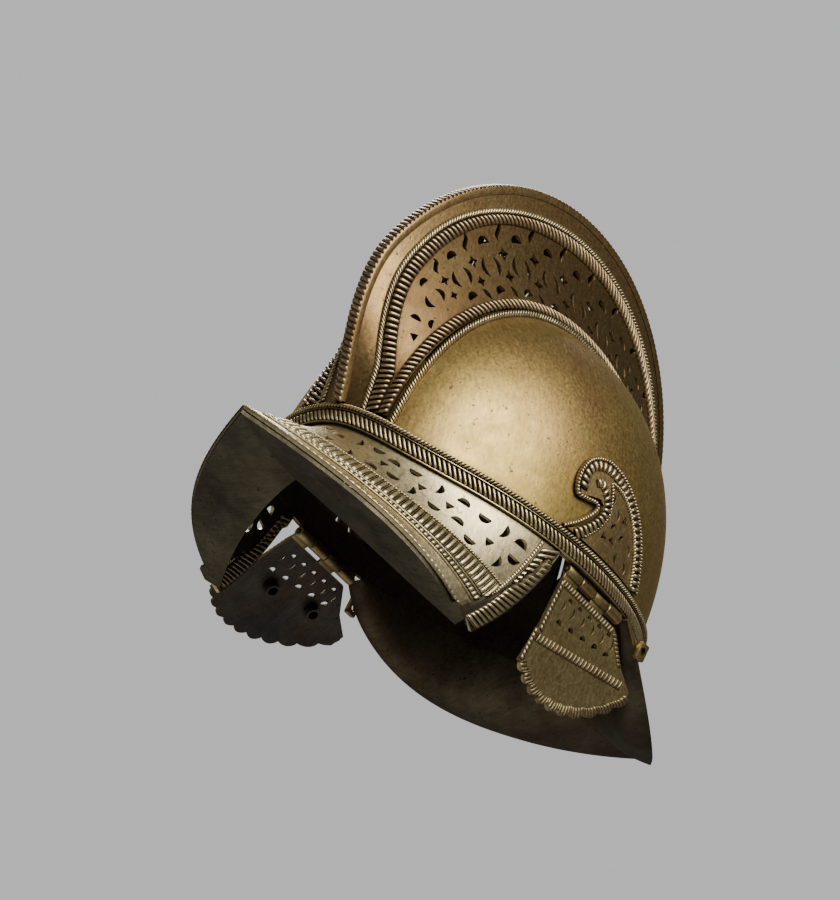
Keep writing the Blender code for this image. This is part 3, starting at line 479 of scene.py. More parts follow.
SEAT_LINE = line_of(lambda s: comb_arch(s, 1.3 * MM + 1.9 * MM * abs(2 * s - 1) ** 1.5))
CREST_LINE = line_of(lambda s: crest_outline(s) + Vector((crest_half_width(s), 0, 0)))


def comb_point(share, up):
    """Point of the comb's left side, up from 0 at the skull to 1 at the crest."""
    point = on_line(SEAT_LINE, share).lerp(on_line(CREST_LINE, share), up)
    bowed = math.sin(math.pi * min(max(up, 0), 1)) * math.sin(math.pi * min(max(share, 0), 1))
    point.x -= COMB_HOLLOWING * bowed
    return point


def surface_frame(point_at, along, across, limits, step, facing):
    """Point of a curved sheet, and its normal on the side that faces a given way, from just inside its edges."""
    (low, high), margin = limits
    near, inner = min(max(along, low), high), min(max(across, margin), 1 - margin)
    normal = (point_at(near + step, inner) - point_at(near - step, inner)).cross(
        point_at(near, inner + 0.02) - point_at(near, inner - 0.02)).normalized()
    return point_at(along, across), normal if normal.dot(facing) > 0 else -normal


def comb_frame(share, up):
    return surface_frame(comb_point, share, up, ((0.015, 0.985), 0.03), 0.008, Vector((1, 0, 0)))


def comb_layout(share):
    """Widths down from the crest, of plain strip, wire and ribs, then the ribs on the skull and the whole side."""
    plain = 8 - 3 * math.exp(-((share - 0.25) / 0.1) ** 2) + 3 * math.exp(-(share / 0.1) ** 2)
    ribs = 7.4 - 2.2 * math.exp(-((share - 0.33) / 0.08) ** 2)
    widths = [w * MM for w in (plain, 3.2, ribs, 5.4)]
    whole = (on_line(CREST_LINE, share) - on_line(SEAT_LINE, share)).length
    fit = min(1, whole / (sum(widths) + 1 * MM))
    return [w * fit for w in widths] + [whole]


def comb_strip(kind):
    """Surface of one of the comb's border strips, measured along the crest or the arch."""
    def surface(distance, across):
        share = (CREST_SHARE if kind != "skull_ribs" else ARCH_SHARE)(distance)
        share += FOOT_OVERLAP * (2 * share - 1)
        plain, wire, ribs, low, whole = comb_layout(share)
        if kind == "crest_wire":
            return comb_frame(share, 1 - (plain + wire * across) / whole)
        if kind == "crest_ribs":
            return comb_frame(share, 1 - (plain + wire + ribs * across) / whole)
        return comb_frame(share, (0.2 * MM + low * (1 - across)) / whole)
    return surface


CREST_LENGTH, CREST_SHARE = ruler(lambda s: on_line(CREST_LINE, s))
ARCH_LENGTH, ARCH_SHARE = ruler(lambda s: on_line(SEAT_LINE, s))


def foot_wire(distance, across):
    """Surface of the twisted wire that lies on the skull along the comb."""
    share = ARCH_SHARE(distance)
    share += 1.8 * FOOT_OVERLAP * (2 * share - 1)
    point = comb_arch(share, 0, (-0.5 + 3.1 * across) * MM)
    return point, skull_normal(point)


def leaf(height, bow, swell, wave=0.0, points=6):
    """Slim hole with two pointed ends: bowed to one side, or waved like an S."""
    up = [-1 + 2 * k / points for k in range(points + 1)]
    middle = [bow * (1 - t * t) + wave * math.sin(math.pi * t) for t in up]
    right = [(m + swell * (1 - t * t), t * height / 2) for m, t in zip(middle, up)]
    left = [(m - swell * (1 - t * t), t * height / 2) for m, t in zip(middle, up)]
    return right + left[-2:0:-1]


def half_moon(radius, points=8):
    return [(radius * math.cos(math.pi * k / points), radius * math.sin(math.pi * k / points) - 0.4 * radius)
            for k in range(points + 1)]


def star(radius, waist=0.36, tips=4):
    return [((radius if k % 2 == 0 else radius * waist) * math.sin(math.pi * k / tips),
             (radius if k % 2 == 0 else radius * waist) * math.cos(math.pi * k / tips)) for k in range(2 * tips)]


def turned(outline, angle):
    c, s = math.cos(angle), math.sin(angle)
    return [(x * c - y * s, x * s + y * c) for x, y in outline]


def hole_cutters(outlines, depth, lip=0.35 * MM):
    """Prisms through a flat sheet for its holes, wider at the top for the worn lip."""
    bm = bmesh.new()
    faces = [bm.faces.new([bm.verts.new((x, y, -2 * depth)) for x, y in outline]) for outline in outlines]
    bottoms = set(faces)
    for lift in (2 * depth - lip, 3 * lip):
        made = bmesh.ops.extrude_face_region(bm, geom=faces, use_keep_orig=True)["geom"]
        bmesh.ops.delete(bm, geom=[f for f in faces if f not in bottoms], context="FACES_ONLY")
        raised = [v for v in made if isinstance(v, bmesh.types.BMVert)]
        faces = [face for face in made if isinstance(face, bmesh.types.BMFace)]
        bmesh.ops.translate(bm, verts=raised, vec=(0, 0, lift))
    bmesh.ops.recalc_face_normals(bm, faces=bm.faces[:])
    bm.normal_update()
    for vert in raised:
        outward = Vector((vert.normal.x, vert.normal.y, 0))
        vert.co += outward.normalized() * 2 * lip
    return bm


def thicken(bm, depth):
    """Gives a flat mesh a second side at a depth, with walls between."""
    made = bmesh.ops.extrude_face_region(bm, geom=bm.faces[:], use_keep_orig=True)
    bmesh.ops.translate(bm, verts=made_verts(made), vec=(0, 0, depth))


def flat_sheet(u_range, v_range, cell, depth, holes, outline=None):
    """Flat sheet of small cells with its holes cut through, ready to be bent onto a surface."""
    bm = bmesh.new()
    (u0, u1), (v0, v1) = u_range, v_range
    columns, rows = round((u1 - u0) / cell), round((v1 - v0) / cell)
    bmesh.ops.create_grid(bm, x_segments=columns, y_segments=rows, size=0.5)
    for vert in bm.verts:
        vert.co = (u0 + (u1 - u0) * (vert.co.x + 0.5), v0 + (v1 - v0) * (vert.co.y + 0.5), 0)
    thicken(bm, -depth)
    if outline:
        bm = cut(bm, prism(outline, lambda x, y: (x, y, -2 * depth), (0, 0, 4 * depth)), "INTERSECT")
    bm = cut(bm, hole_cutters(holes, depth))
    many_sided = [face for face in bm.faces if len(face.verts) > 4]
    bmesh.ops.triangulate(bm, faces=many_sided, quad_method="BEAUTY", ngon_method="BEAUTY")
    return bm


def comb_holes():
    """Twelve repeats of a pair of crescents with stars, moons and S-shaped slits about it, in millimetres."""
    holes = []
    pitch, first, repeats = 0.0575, 0.180, 12
    full_room, least_scale = 36, 0.75

    def pierce(share, height, outline, turn=0.0):
        whole = (on_line(CREST_LINE, share) - on_line(SEAT_LINE, share)).length
        drop = 6.5 * MM * max(0, math.cos(math.pi * min(1, abs(share - 0.55) / 0.25) / 2)) ** 2
        up = (height * MM - drop * min(1, (46 - height) / 22)) / whole
        along = (comb_point(share + 0.005, up) - comb_point(share - 0.005, up)).length / 0.01
        holes.append([((share + x * MM / along) * COMB_LENGTH, (up + y * MM / whole) * COMB_WIDTH)
                      for x, y in turned(outline, turn)])

    for k in range(repeats):
        share = first + pitch * k
        *borders, _, whole = comb_layout(share)
        scale = min(1, ((whole - sum(borders)) / MM - 6) / full_room)
        for way in (-1, 1):
            offset = way * 3.3 / (330 * 1.15)
            pierce(share + offset, 6 + 16 * scale, leaf(9.8 * scale, way * 2.0, 1.15))
        pierce(share, 6 + 29.5 * scale, half_moon(3.7 * scale))
        if scale > least_scale:
            pierce(share, 10.0, half_moon(3.1), 0.2)
        pierce(share + pitch / 2, 6 + 22.5 * scale, star(3.6 * scale, 0.46))
        pierce(share + pitch / 2, 6 + 11 * scale, star(3.1 * scale, 0.46))
        pierce(share + pitch / 2, 6 + 34 * scale, leaf(11 * scale, 0, 1.3, 0.9), -0.30)
        if scale > least_scale:
            pierce(share + pitch / 2, 9, leaf(6.4, 0.3, 1.05), 0.5)
    for share, height, outline, turn in (
            (0.137, 15.5, leaf(6, 0.8, 1.1), 0.3), (0.148, 9.0, half_moon(2.2), 0.4),
            (0.116, 10.2, star(2.3, 0.5, 3), 0), (0.862, 12.0, star(2.4, 0.5, 3), 0.4)):
        pierce(share, height, outline, turn)
    return holes


def comb_side():
    bm = flat_sheet((0, COMB_LENGTH), (0, COMB_WIDTH), 2.7 * MM, PIERCED_SHEET, comb_holes())
    for face in bm.faces:
        middle = face.calc_center_median()
        plain, wire, *_, whole = comb_layout(middle.x / COMB_LENGTH)
        face.material_index = 1 if middle.y / COMB_WIDTH > 1 - (plain + 0.5 * wire) / whole else 0
    for vert in bm.verts:
        share = vert.co.x / COMB_LENGTH
        point, normal = comb_frame(share + FOOT_OVERLAP * (2 * share - 1), vert.co.y / COMB_WIDTH)
        vert.co = point + normal * vert.co.z
    return bm


def comb_borders():
    bm = bmesh.new()
    for surface, whole, *strip in (
            (comb_strip("crest_wire"), CREST_LENGTH, ROPE_SECTION, 1.7, ROPE_RIBS, 1.9, -2.6, 0.5, 1),
            (comb_strip("crest_ribs"), CREST_LENGTH, HATCH_SECTION, 1.9, BAND_RIBS, 3.0, 2.8, 0.6, 0),
            (comb_strip("skull_ribs"), ARCH_LENGTH, HATCH_SECTION, 1.8, BAND_RIBS, 2.8, 2.2, 0.6, 0),
            (foot_wire, ARCH_LENGTH, ROPE_SECTION, 2.9, ROPE_RIBS, 1.8, -2.6, 0.36, 1)):
        lay_strip(bm, surface, 0.998 * whole, *strip, 0.001 * whole)
    return bm


def both_sides(make, name, materials, node, crease=40, bodies=("root", "root"), hung=None):
    """Makes a piece for the left side and its mirror image for the right, which may hang turned by a matrix."""
    left = make()
    right = left.copy()
    if hung:
        bmesh.ops.transform(right, verts=right.verts[:], matrix=hung)
    bmesh.ops.scale(right, verts=right.verts[:], vec=(-1, 1, 1))
    for bm, hand, body in zip((left, right), ("left", "right"), bodies):
        new_piece(bm, f"{name}_{hand}", materials, body, [f"{node}_{hand}"] if node else (), crease)


both_sides(comb_side, "comb_pierced_sheet", [COPPER_BRASS, PLAIN_STRIP_BRASS], "comb")
both_sides(comb_borders, "comb_border_ribs", [COMB_RIB_BRASS, BAND_BRASS], None, 55)


# Crest edge: the ribbed strip of coppery brass that closes the comb all along its outline.
# Slanting ribs run across its face, and the wear along its two edges shows bright.
EDGE_SECTION = both_edges((0, 0.1), (0, 0.8), (0.05, 0.97), (0.2, 1))


def crest_surface(distance, across):
    share = min(max(CREST_SHARE(distance), 0), 1)
    share += 0.8 * FOOT_OVERLAP * (2 * share - 1)
    base = crest_outline(share, -0.4 * MM)
    outward = (crest_outline(share, 1 * MM) - crest_outline(share)).normalized()
    half = crest_half_width(share) + 0.35 * MM
    return base + Vector((half * (1 - 2 * across), 0, 0)), outward


def crest_face(distance, across):
    point, outward = crest_surface(distance, 0.03 + 0.94 * across)
    return point + outward * 3.4 * MM, outward


def make_crest_edge():
    bm = bmesh.new()
    run = CREST_LENGTH - 2 * MM
    lay_strip(bm, crest_surface, run, EDGE_SECTION, 3.9, PLAIN_RIBS, 3, 0, 0.1, 1, MM)
    lay_strip(bm, crest_face, run, HATCH_SECTION, 1.4, ROPE_RIBS, 2.7, 1.6, 0.75, 0, MM)
    return bm


CREST_BRASS = brass("brown_crest_brass", 0.3, rubbed=(0.56, 0.42, 0.24), dull=(0.24, 0.165, 0.08),
                    copper=(0.30, 0.15, 0.07), dulled=0.7, coppered=0.5, dirty=0.9, polish=0.36)
new_piece(make_crest_edge(), "crest_edge_ribs", [CREST_BRASS, PLAIN_STRIP_BRASS], "root",
          ["crest_edge"], 50)


# Peak: a pierced sheet bent down from the brow band to a pointed edge, with a ridge in the middle.
# Ribs, a row of square beads and a polished strip follow its outer edge, and wire and ribs its rear ends.
PEAK_END = math.radians(77)
PEAK_LENGTH, PEAK_WIDTH = 140 * MM, 55 * MM
PEAK_HANDLES = [Vector(p) * MM for p in ((0, -159, -18.5), (50, -124, -31), (86, -92, -43), (77.5, -47, -59.5))]
PEAK_HOLES = ((5, 8, 0), (14.4, 12, 1), (25, 9, 2), (36.6, 7, 0), (47.2, 8.5, 1), (58.7, 7, 0), (72.5, 8, 2),
              (86.5, 6.5, 1), (99, 8.1, 0), (110, 7.5, 2), (121, 7, 1), (16, 22, 3), (28, 24, 2), (41.5, 22.7, 1),
              (52.2, 20, 0), (63, 20.8, 2), (76.7, 21.2, 0), (90, 18.5, 1), (100.4, 24, 0), (108, 17, 3),
              (117, 22, 2), (66, 14, 3), (82, 14, 3), (44, 14.5, 3), (123, 15.6, 0))


def bezier(points, t):
    while len(points) > 1:
        points = [a.lerp(b, t) for a, b in zip(points, points[1:])]
    return points[0]


def peak_point(s, v):
    """Point of the peak's left half, s from the ridge to the rear end, v from the band to the edge."""
    angle = PEAK_END * s
    root = skull_at(angle, 0, 0.3 * MM)
    root.z = rim_height(angle) - 0.3 * MM
    edge = bezier(PEAK_HANDLES, s)
    bend = root + Vector(((edge.x - root.x) * 0.3, (edge.y - root.y) * 0.3, (edge.z - root.z) * 0.62))
    return bezier([root, bend, edge], v)


def peak_frame(s, v):
    point, normal = surface_frame(peak_point, s, v, ((0.03, 0.97), 0.02), 0.02, Vector((0, 0, 1)))
    if s < 1e-6:
        normal.x = 0
    return point, normal


def peak_sheet():
    shapes = half_moon(3.5), turned(half_moon(3.5), math.pi), leaf(7.4, 1.8, 1.4), star(2.9, 0.5, 3)
    holes = []
    for side in (1, -1):
        for u, v, kind in PEAK_HOLES:
            holes.append([(side * (u + x) * MM, (v + y) * MM) for x, y in shapes[kind]])
    bm = flat_sheet((-PEAK_LENGTH, PEAK_LENGTH), (0, PEAK_WIDTH), 2.5 * MM, SHEET, holes)
    # Underside faces take the brass darkened as painted shade.
    for face in bm.faces:
        face.material_index = 1 if face.calc_center_median().z < -0.9 * SHEET else 0
    for vert in bm.verts:
        u, v, w = vert.co
        point, normal = peak_frame(abs(u) / PEAK_LENGTH, v / PEAK_WIDTH)
        point += normal * w
        vert.co = Vector((math.copysign(point.x, u) if abs(u) > 1e-6 else 0, point.y, point.z))
    return bm


def peak_run(v0, v1):
    """Surface of a strip along the peak between two lines of its drawing."""
    def surface(distance, across):
        return peak_frame(min(1, max(0, distance / PEAK_REACH)), (v0 + (v1 - v0) * across) * MM / PEAK_WIDTH)
    return surface


def rear_run(u0, u1):
    """Surface of a strip down the peak's rear end."""
    def surface(distance, across):
        return peak_frame((u0 + (u1 - u0) * across) * MM / PEAK_LENGTH, min(1, max(0, distance / PEAK_DROP)))
    return surface


PEAK_REACH, PEAK_DROP = ruler(lambda s: peak_point(s, 0.7))[0], 1.1 * PEAK_WIDTH


def under_run(distance, across):
    """Surface of the strip that runs round onto the underside of the peak's rear end."""
    point, normal = rear_run(130.6, 139.4)(distance, across)
    return point - normal * SHEET, -normal


def peak_borders():
    bm = bmesh.new()
    rear_end = 130 * MM / PEAK_LENGTH
    for v0, v1, end, *strip in (
            (27.6, 29.0, rear_end, ROPE_SECTION, 0.9, ROPE_RIBS, 1.6, -1.0),
            (29.2, 40.2, rear_end, HATCH_SECTION, 1.4, BAND_RIBS, 3.5, 0.6),
            (40.5, 41.7, rear_end, ROPE_SECTION, 0.9, PLAIN_RIBS, 2.4, 0),
            (42.2, 45.4, rear_end, HATCH_SECTION, 1.3, (0, 1, 1, 0.9), 2.7, 0),
            (45.8, 47.0, rear_end, ROPE_SECTION, 0.9, PLAIN_RIBS, 2.4, 0),
            (54.0, 55.4, 0.985, ROPE_SECTION, 0.7, (0, 1, 1, 1), 3.1, 0)):
        lay_strip(bm, peak_run(v0, v1), PEAK_REACH * end - 1.2 * MM, *strip, 0.65, 0, 0.8 * MM)
    for surface, share, start, *strip in (
            (rear_run(127.6, 130.0), 0.94, 1, ROPE_SECTION, 1.3, ROPE_RIBS, 1.5, 1.2, 0.5),
            (under_run, 0.94, 2.5, HATCH_SECTION, 1.3, BAND_RIBS, 2.9, -3.0, 0.65),
            (rear_run(130.4, 139.4), 0.955, 1, HATCH_SECTION, 1.5, BAND_RIBS, 2.9, -4.2, 0.65)):
        lay_strip(bm, surface, share * PEAK_DROP, *strip, 0, start * MM)
    return bm


PEAK_BRASS = brass("polished_peak_brass", 0.28, rubbed=(0.84, 0.71, 0.42), dull=(0.46, 0.37, 0.18),
                   copper=(0.52, 0.32, 0.16), dulled=0.45, coppered=0.25, dirty=0.9, polish=0.31)
# Painted shade: the peak's underside and the hinge pin are brass with colours darkened to stand for the shade there.
SHADE_DARK_BRASS = brass("shade_darkened_brass", 0.5, rubbed=(0.15, 0.125, 0.08), dull=(0.06, 0.05, 0.032),
                        copper=(0.12, 0.07, 0.04), dulled=0.85, coppered=0.4, dirty=0.9, polish=0.46)
new_piece(peak_sheet(), "peak_pierced_sheet", [PEAK_BRASS, SHADE_DARK_BRASS], "root", ["peak"])
both_sides(peak_borders, "peak_border_ribs", [PEAK_BRASS], None, 55)


# Peak flange: the crescent of sheet brass turned inwards under the peak's pointed edge.
# It is brushed, and its colours are darkened as painted shade under the peak; on the real flange only the thin inner
# rim is rubbed bright.
FLANGE_HANDLES = [Vector(p) * MM for p in ((0, -110, -25.5), (30, -97, -37.5), (58, -72, -52))] + [PEAK_HANDLES[3]]
FLANGE_REACH = 0.93


def flange_point(u, v, w):
    """Point of the flange: u along, v inwards from the peak's edge, w from its upper side (0) to its lower (1)."""
    s = abs(u)
    outer, normal = peak_frame(s, 1)
    outer -= normal * (SHEET + 0.3 * MM)
    inner = bezier(FLANGE_HANDLES, s)
    inner.z = min(inner.z, outer.z)
    point = outer.lerp(inner, v)
    point.z -= 0.3 * MM + SHEET * w + 1.2 * MM * math.sin(math.pi * v) * (1 - s)
    return Vector((math.copysign(point.x, u), point.y, point.z))


def peak_flange():
    bm = bmesh.new()
    bmesh.ops.create_grid(bm, x_segments=120, y_segments=12, size=1)
    thicken(bm, 1)
    for vert in bm.verts:
        vert.co = flange_point(vert.co.x * FLANGE_REACH, (vert.co.y + 1) / 2, vert.co.z)
    return bm


# Painted shade: the flange's colours are darkened to stand for the shade under the peak.
SHADED_FLANGE_BRASS = brass("shade_darkened_flange", 0.6, rubbed=(0.17, 0.145, 0.085), dull=(0.048, 0.041, 0.026),
                     copper=(0.08, 0.052, 0.028), dulled=0.8, coppered=0.35, dirty=0.4, polish=0.40)
new_piece(peak_flange(), "peak_flange_sheet", [SHADED_FLANGE_BRASS], "root", ["peak_flange"])


# Neck guard: the plain pointed brim behind, hammered from one sheet and curving down and out.
# Its outside is olive brass, its inside is the same brass painted dark brown as shade, and its edge is a thin bright
# rim.
GUARD_START = math.radians(108.5)
GUARD_HANDLES = [Vector(p) * MM for p in ((0, 188, -3), (44, 148, -30), (92, 85, -42), (87.5, 36, -3))]
GUARD_BEND_OUT, GUARD_DIP = 0.16, 14 * MM


def guard_point(s, v):
    side = math.copysign(1, s)
    angle = side * (math.pi + (GUARD_START - math.pi) * abs(s))
    root = skull_at(angle, 0, 0.3 * MM)
    root.z = rim_height(angle) - 0.3 * MM
    edge = bezier(GUARD_HANDLES, abs(s))
    edge.x *= side
    bend = root.lerp(edge, GUARD_BEND_OUT)
    bend.z = min(root.z, edge.z) - GUARD_DIP * (1 - abs(s) ** 3)
    return bezier([root, bend, edge], v)


def guard_frame(s, v):
    half = (0.03, 0.97) if s >= 0 else (-0.97, -0.03)
    point, normal = surface_frame(guard_point, s, v, (half, 0.02), 0.02, Vector((0, 0, 1)))
    if abs(s) < 1e-6:
        normal.x = 0
    return point, normal


def neck_guard():
    bm = bmesh.new()
    bmesh.ops.create_grid(bm, x_segments=140, y_segments=24, size=1)
    thicken(bm, -SHEET)
    # Underside faces take the brass darkened as painted shade.
    for face in bm.faces:
        face.material_index = 1 if face.calc_center_median().z < -0.9 * SHEET else 0
    for vert in bm.verts:
        point, normal = guard_frame(vert.co.x, (vert.co.y + 1) / 2)
        vert.co = point + normal * vert.co.z
    return bm


def guard_edge(distance, across):
    share = GUARD_SHARE(distance)
    point, normal = guard_frame(2 * share - 1, 0.975 + 0.028 * across)
    return point - normal * 0.2 * MM, normal


GUARD_LENGTH, GUARD_SHARE = ruler(lambda share: guard_point(2 * share - 1 if share != 0.5 else 1e-6, 1))
GUARD_BRASS = brass("olive_guard_brass", 0.3, rubbed=(0.56, 0.43, 0.19), dull=(0.28, 0.21, 0.08),
                    copper=(0.40, 0.23, 0.11), dulled=0.6, coppered=0.3, dirty=0.8, polish=0.35)
new_piece(neck_guard(), "neck_guard_sheet", [GUARD_BRASS, SHADED_INSIDE_BRASS], "root", ["neck_guard"])
rim = bmesh.new()
lay_strip(rim, guard_edge, GUARD_LENGTH, ROPE_SECTION, 0.9, PLAIN_RIBS, 2.5)
new_piece(rim, "neck_guard_rim", [GUARD_BRASS], "root")


# Ear scrolls: an S-shaped border of cast ribs and twisted wire round a small pierced field.
# Each is soldered on the skull above the ear, and its field covers a window in the skull.
SCROLL_OUTLINE = [(y * MM, z * MM) for y, z in (
    (-25, 9), (-17, 15), (-12, 21), (-9.5, 26), (-10, 30), (-13, 31.5), (-19, 29.5), (-25, 27), (-28, 33), (-27, 41),
    (-22, 47), (-14, 50.5), (-5, 50.5), (5, 47), (14, 41), (22, 33), (29, 23), (34, 15), (37, 9))]
OUTER_ARM = ((34, 10), (31, 15), (27, 21), (22.5, 27), (17, 33), (10.5, 39), (2.5, 43.8), (-7.5, 46.6), (-15, 46.6),
             (-21, 44), (-24.2, 39.5), (-25.3, 34), (-24.6, 29.5))
INNER_ARM = ((-20, 8.5), (-14.5, 14.5), (-10.4, 20), (-7.6, 26), (-8, 31.5), (-11.2, 35.6), (-15, 38), (-18.6, 36.4))
OUTER_WIRE = ((-28, 8.5), (-21, 15), (-15.5, 22), (-13.4, 26.5), (-15.4, 28.2), (-21, 27), (-26.6, 26.4), (-28.8, 31),
              (-28.2, 38.5), (-24, 45.6), (-16, 49.8), (-8, 50.2), (2, 47.6), (11, 42.6), (19, 36), (26, 28),
              (32, 19.5), (37, 10))
FIELD_WIRE = ((-14.5, 10.5), (-9, 18), (-5.6, 25), (-5.4, 31), (-7.4, 38.5), (-8.6, 42), (0, 41.6), (8, 37.6),
              (15, 31.6), (21, 24.6), (26, 16.6), (29, 10))
SCROLL_HOLES = ((-5.2, 36.6, 1, 0.5), (0.8, 31.2, 1, 0.3), (7.0, 31.8, 2, 0.2), (8.6, 23.4, 0, 1.3),
                (-3.4, 18.0, 2, 0.4), (2.6, 19.2, 2, 0.0), (9.8, 13.8, 0, 1.9), (18.6, 13.4, 1, 0.5),
                (16.8, 22.0, 1, 0.7), (0.5, 25.0, 0, 1.2))


def skull_side(y, z, offset=0.0):
    width, length, height = skull_radii(offset)
    n = SKULL_FULLNESS
    across = (1 - (max(z, 0) / height) ** n) ** (2 / n) - ((y - SKULL_CENTRE_Y) / length) ** 2
    return Vector((width * math.sqrt(max(across, 0)), y, z))


def rounded_path(points):
    """Smooth curve through points, as a function of a share 0..1."""
    knots = [Vector((y * MM, z * MM)) for y, z in points]
    knots = [2 * knots[0] - knots[1], *knots, 2 * knots[-1] - knots[-2]]

    def curve(share):
        place = min(max(share, 0), 1) * (len(knots) - 3)
        k = min(int(place), len(knots) - 4)
        t = place - k
        a, b, c, d = knots[k:k + 4]
        return 0.5 * (2 * b + (c - a) * t + (2 * a - 5 * b + 4 * c - d) * t * t + (3 * b - a - 3 * c + d) * t ** 3)
    return curve


def path_strip(bm, points, width, taper, lift, *strip):
    """Ribbed strip along a drawn path on the skull's side, getting narrower by its taper."""
    curve = rounded_path(points)
    length, share_at = ruler(curve)

    def surface(distance, across):
        share = share_at(distance)
        step = (curve(min(1, share + 0.01)) - curve(max(0, share - 0.01))).normalized()
        y, z = curve(share) + Vector((-step.y, step.x)) * (across - 0.5) * width * (1 - taper * share)
        point = skull_side(y, z, lift)
        return point, skull_normal(point)

    lay_strip(bm, surface, length, *strip)


def scroll_plate():
    shapes = half_moon(2.0), leaf(5.6, 0.8, 0.8), star(2.2, 0.45, 3)
    holes = [[((y + a) * MM, (z + b) * MM) for a, b in turned(shapes[kind], turn)]
             for y, z, kind, turn in SCROLL_HOLES]
    bm = flat_sheet((-32 * MM, 42 * MM), (6 * MM, 54 * MM), 2 * MM, 1.3 * MM, holes, SCROLL_OUTLINE)
    for vert in bm.verts:
        y, z, w = vert.co
        vert.co = skull_side(y, z, 1.9 * MM + w)
    return bm


def scroll_ribs():
    bm = bmesh.new()
    for points, width, taper, *strip in (
            (OUTER_ARM, 5.4, 0.15, HATCH_SECTION, 2.0, BAND_RIBS, 3.1, 0.9),
            (INNER_ARM, 5.6, 0.3, HATCH_SECTION, 2.0, BAND_RIBS, 3.0, -0.8),
            (OUTER_WIRE, 2.0, 0, ROPE_SECTION, 1.9, ROPE_RIBS, 1.6, 1.1),
            (FIELD_WIRE, 1.8, 0, ROPE_SECTION, 1.7, ROPE_RIBS, 1.5, -1.0)):
        path_strip(bm, points, width * MM, taper, 1.6 * MM, *strip)
    return bm


SCROLL_BRASS = brass("ear_scroll_brass", 0.3, rubbed=(0.70, 0.54, 0.26), dull=(0.30, 0.21, 0.08),
                     copper=(0.50, 0.26, 0.11), dulled=0.55, coppered=0.5, dirty=0.95, polish=0.33)
both_sides(scroll_plate, "scroll_plate", [SCROLL_BRASS], "scroll")
both_sides(scroll_ribs, "scroll_ribs", [BAND_BRASS], None, 55)


# Hinges: knuckles rolled from strips of brass, two on the skull's edge and two on each cheek piece.
# A plain pin with rounded ends runs through all four.
HINGE_X, HINGE_DROP, HINGE_MIDDLE_Y = 83.6 * MM, 5.6 * MM, 10.5 * MM
KNUCKLE_LENGTH, KNUCKLE_GAP, KNUCKLE_RADIUS, BORE_RADIUS = 11.2 * MM, 0.4 * MM, 2.6 * MM, 1.45 * MM
PIN_RADIUS, PIN_END = 1.1 * MM, 1.2 * MM


def knuckle_start(index):
    return HINGE_MIDDLE_Y + (index - 2) * (KNUCKLE_LENGTH + KNUCKLE_GAP)


def turned_about_axis(bm, profile, steps=40):
    """Spins a profile of (along, radius) about the left hinge's axis; a closed profile makes a tube."""
    verts = [bm.verts.new((HINGE_X + radius, along, -HINGE_DROP)) for along, radius in profile]
    edges = [bm.edges.new(pair) for pair in zip(verts, verts[1:])]
    if profile[0][1] > 0:
        edges.append(bm.edges.new((verts[-1], verts[0])))
    bmesh.ops.spin(bm, geom=verts + edges, cent=(HINGE_X, 0, -HINGE_DROP), axis=(0, 1, 0), dvec=(0, 0, 0),
                   angle=2 * math.pi, steps=steps, use_merge=True, use_duplicate=False)


def rounded_box(bm, low, high, bevel=0.3 * MM):
    made = bmesh.ops.create_cube(bm, size=1)["verts"]
    for vert in made:
        vert.co = Vector([a + (b - a) * (c + 0.5) for a, b, c in zip(low, high, vert.co)])
    edges = list({edge for vert in made for edge in vert.link_edges})
    bmesh.ops.bevel(bm, geom=edges, offset=bevel, segments=2, profile=0.5, affect="EDGES", material=-1)


def knuckle_tube(bm, index):
    start = knuckle_start(index)
    end, soft = start + KNUCKLE_LENGTH, 0.35 * MM
    turned_about_axis(bm, [(start, BORE_RADIUS), (start, KNUCKLE_RADIUS - soft), (start + soft, KNUCKLE_RADIUS),
                           (end - soft, KNUCKLE_RADIUS), (end, KNUCKLE_RADIUS - soft), (end, BORE_RADIUS)])


def skull_knuckle(index):
    bm = bmesh.new()
    knuckle_tube(bm, index)
    top = -RIM_DROP - 0.3 * MM
    rounded_box(bm, (HINGE_X - 1.6 * MM, knuckle_start(index), top - 1.1 * MM),
                (HINGE_X + 1.6 * MM, knuckle_start(index) + KNUCKLE_LENGTH, top))
    return bm


def hinge_pin():
    bm = bmesh.new()
    half = 2 * KNUCKLE_LENGTH + 1.5 * KNUCKLE_GAP + PIN_END
    low, high = HINGE_MIDDLE_Y - half, HINGE_MIDDLE_Y + half
    turned_about_axis(bm, [(low, 0), (low, 0.6 * PIN_RADIUS), (low + 0.5 * MM, PIN_RADIUS),
                           (high - 0.5 * MM, PIN_RADIUS), (high, 0.6 * PIN_RADIUS), (high, 0)], 32)
    return bm


HINGE_BRASS = brass("worn_hinge_brass", 0.3, rubbed=(0.60, 0.46, 0.21), dull=(0.26, 0.19, 0.08),
                    copper=(0.46, 0.25, 0.11), dulled=0.6, coppered=0.6, dirty=0.9, polish=0.32)
both_sides(lambda: skull_knuckle(1), "skull_knuckle_front", [HINGE_BRASS], "knuckle_front")
both_sides(lambda: skull_knuckle(3), "skull_knuckle_rear", [HINGE_BRASS], "knuckle_rear")
# The pin takes the brass darkened as painted shade.
both_sides(hinge_pin, "hinge_rod", [SHADE_DARK_BRASS], "hinge_pin")


# Cheek pieces: flat plates of dull brass with a scalloped, ribbed lower edge and a pierced upper field.
# A ribbed strip crosses each, two knuckles hang it from the skull, and two short sockets are soldered inside.
CHEEK_THICKNESS, CHEEK_TOP = 1.6 * MM, 4.6
CHEEK_FRONT, CHEEK_REAR, CHEEK_DROP = 27, 54, 63
SCALLOPS, SCALLOP_DEPTH = 10, 2.4
SOCKETS = ((-6, -29), (22, -24))
RIGHT_CHEEK_SWING = math.radians(42)


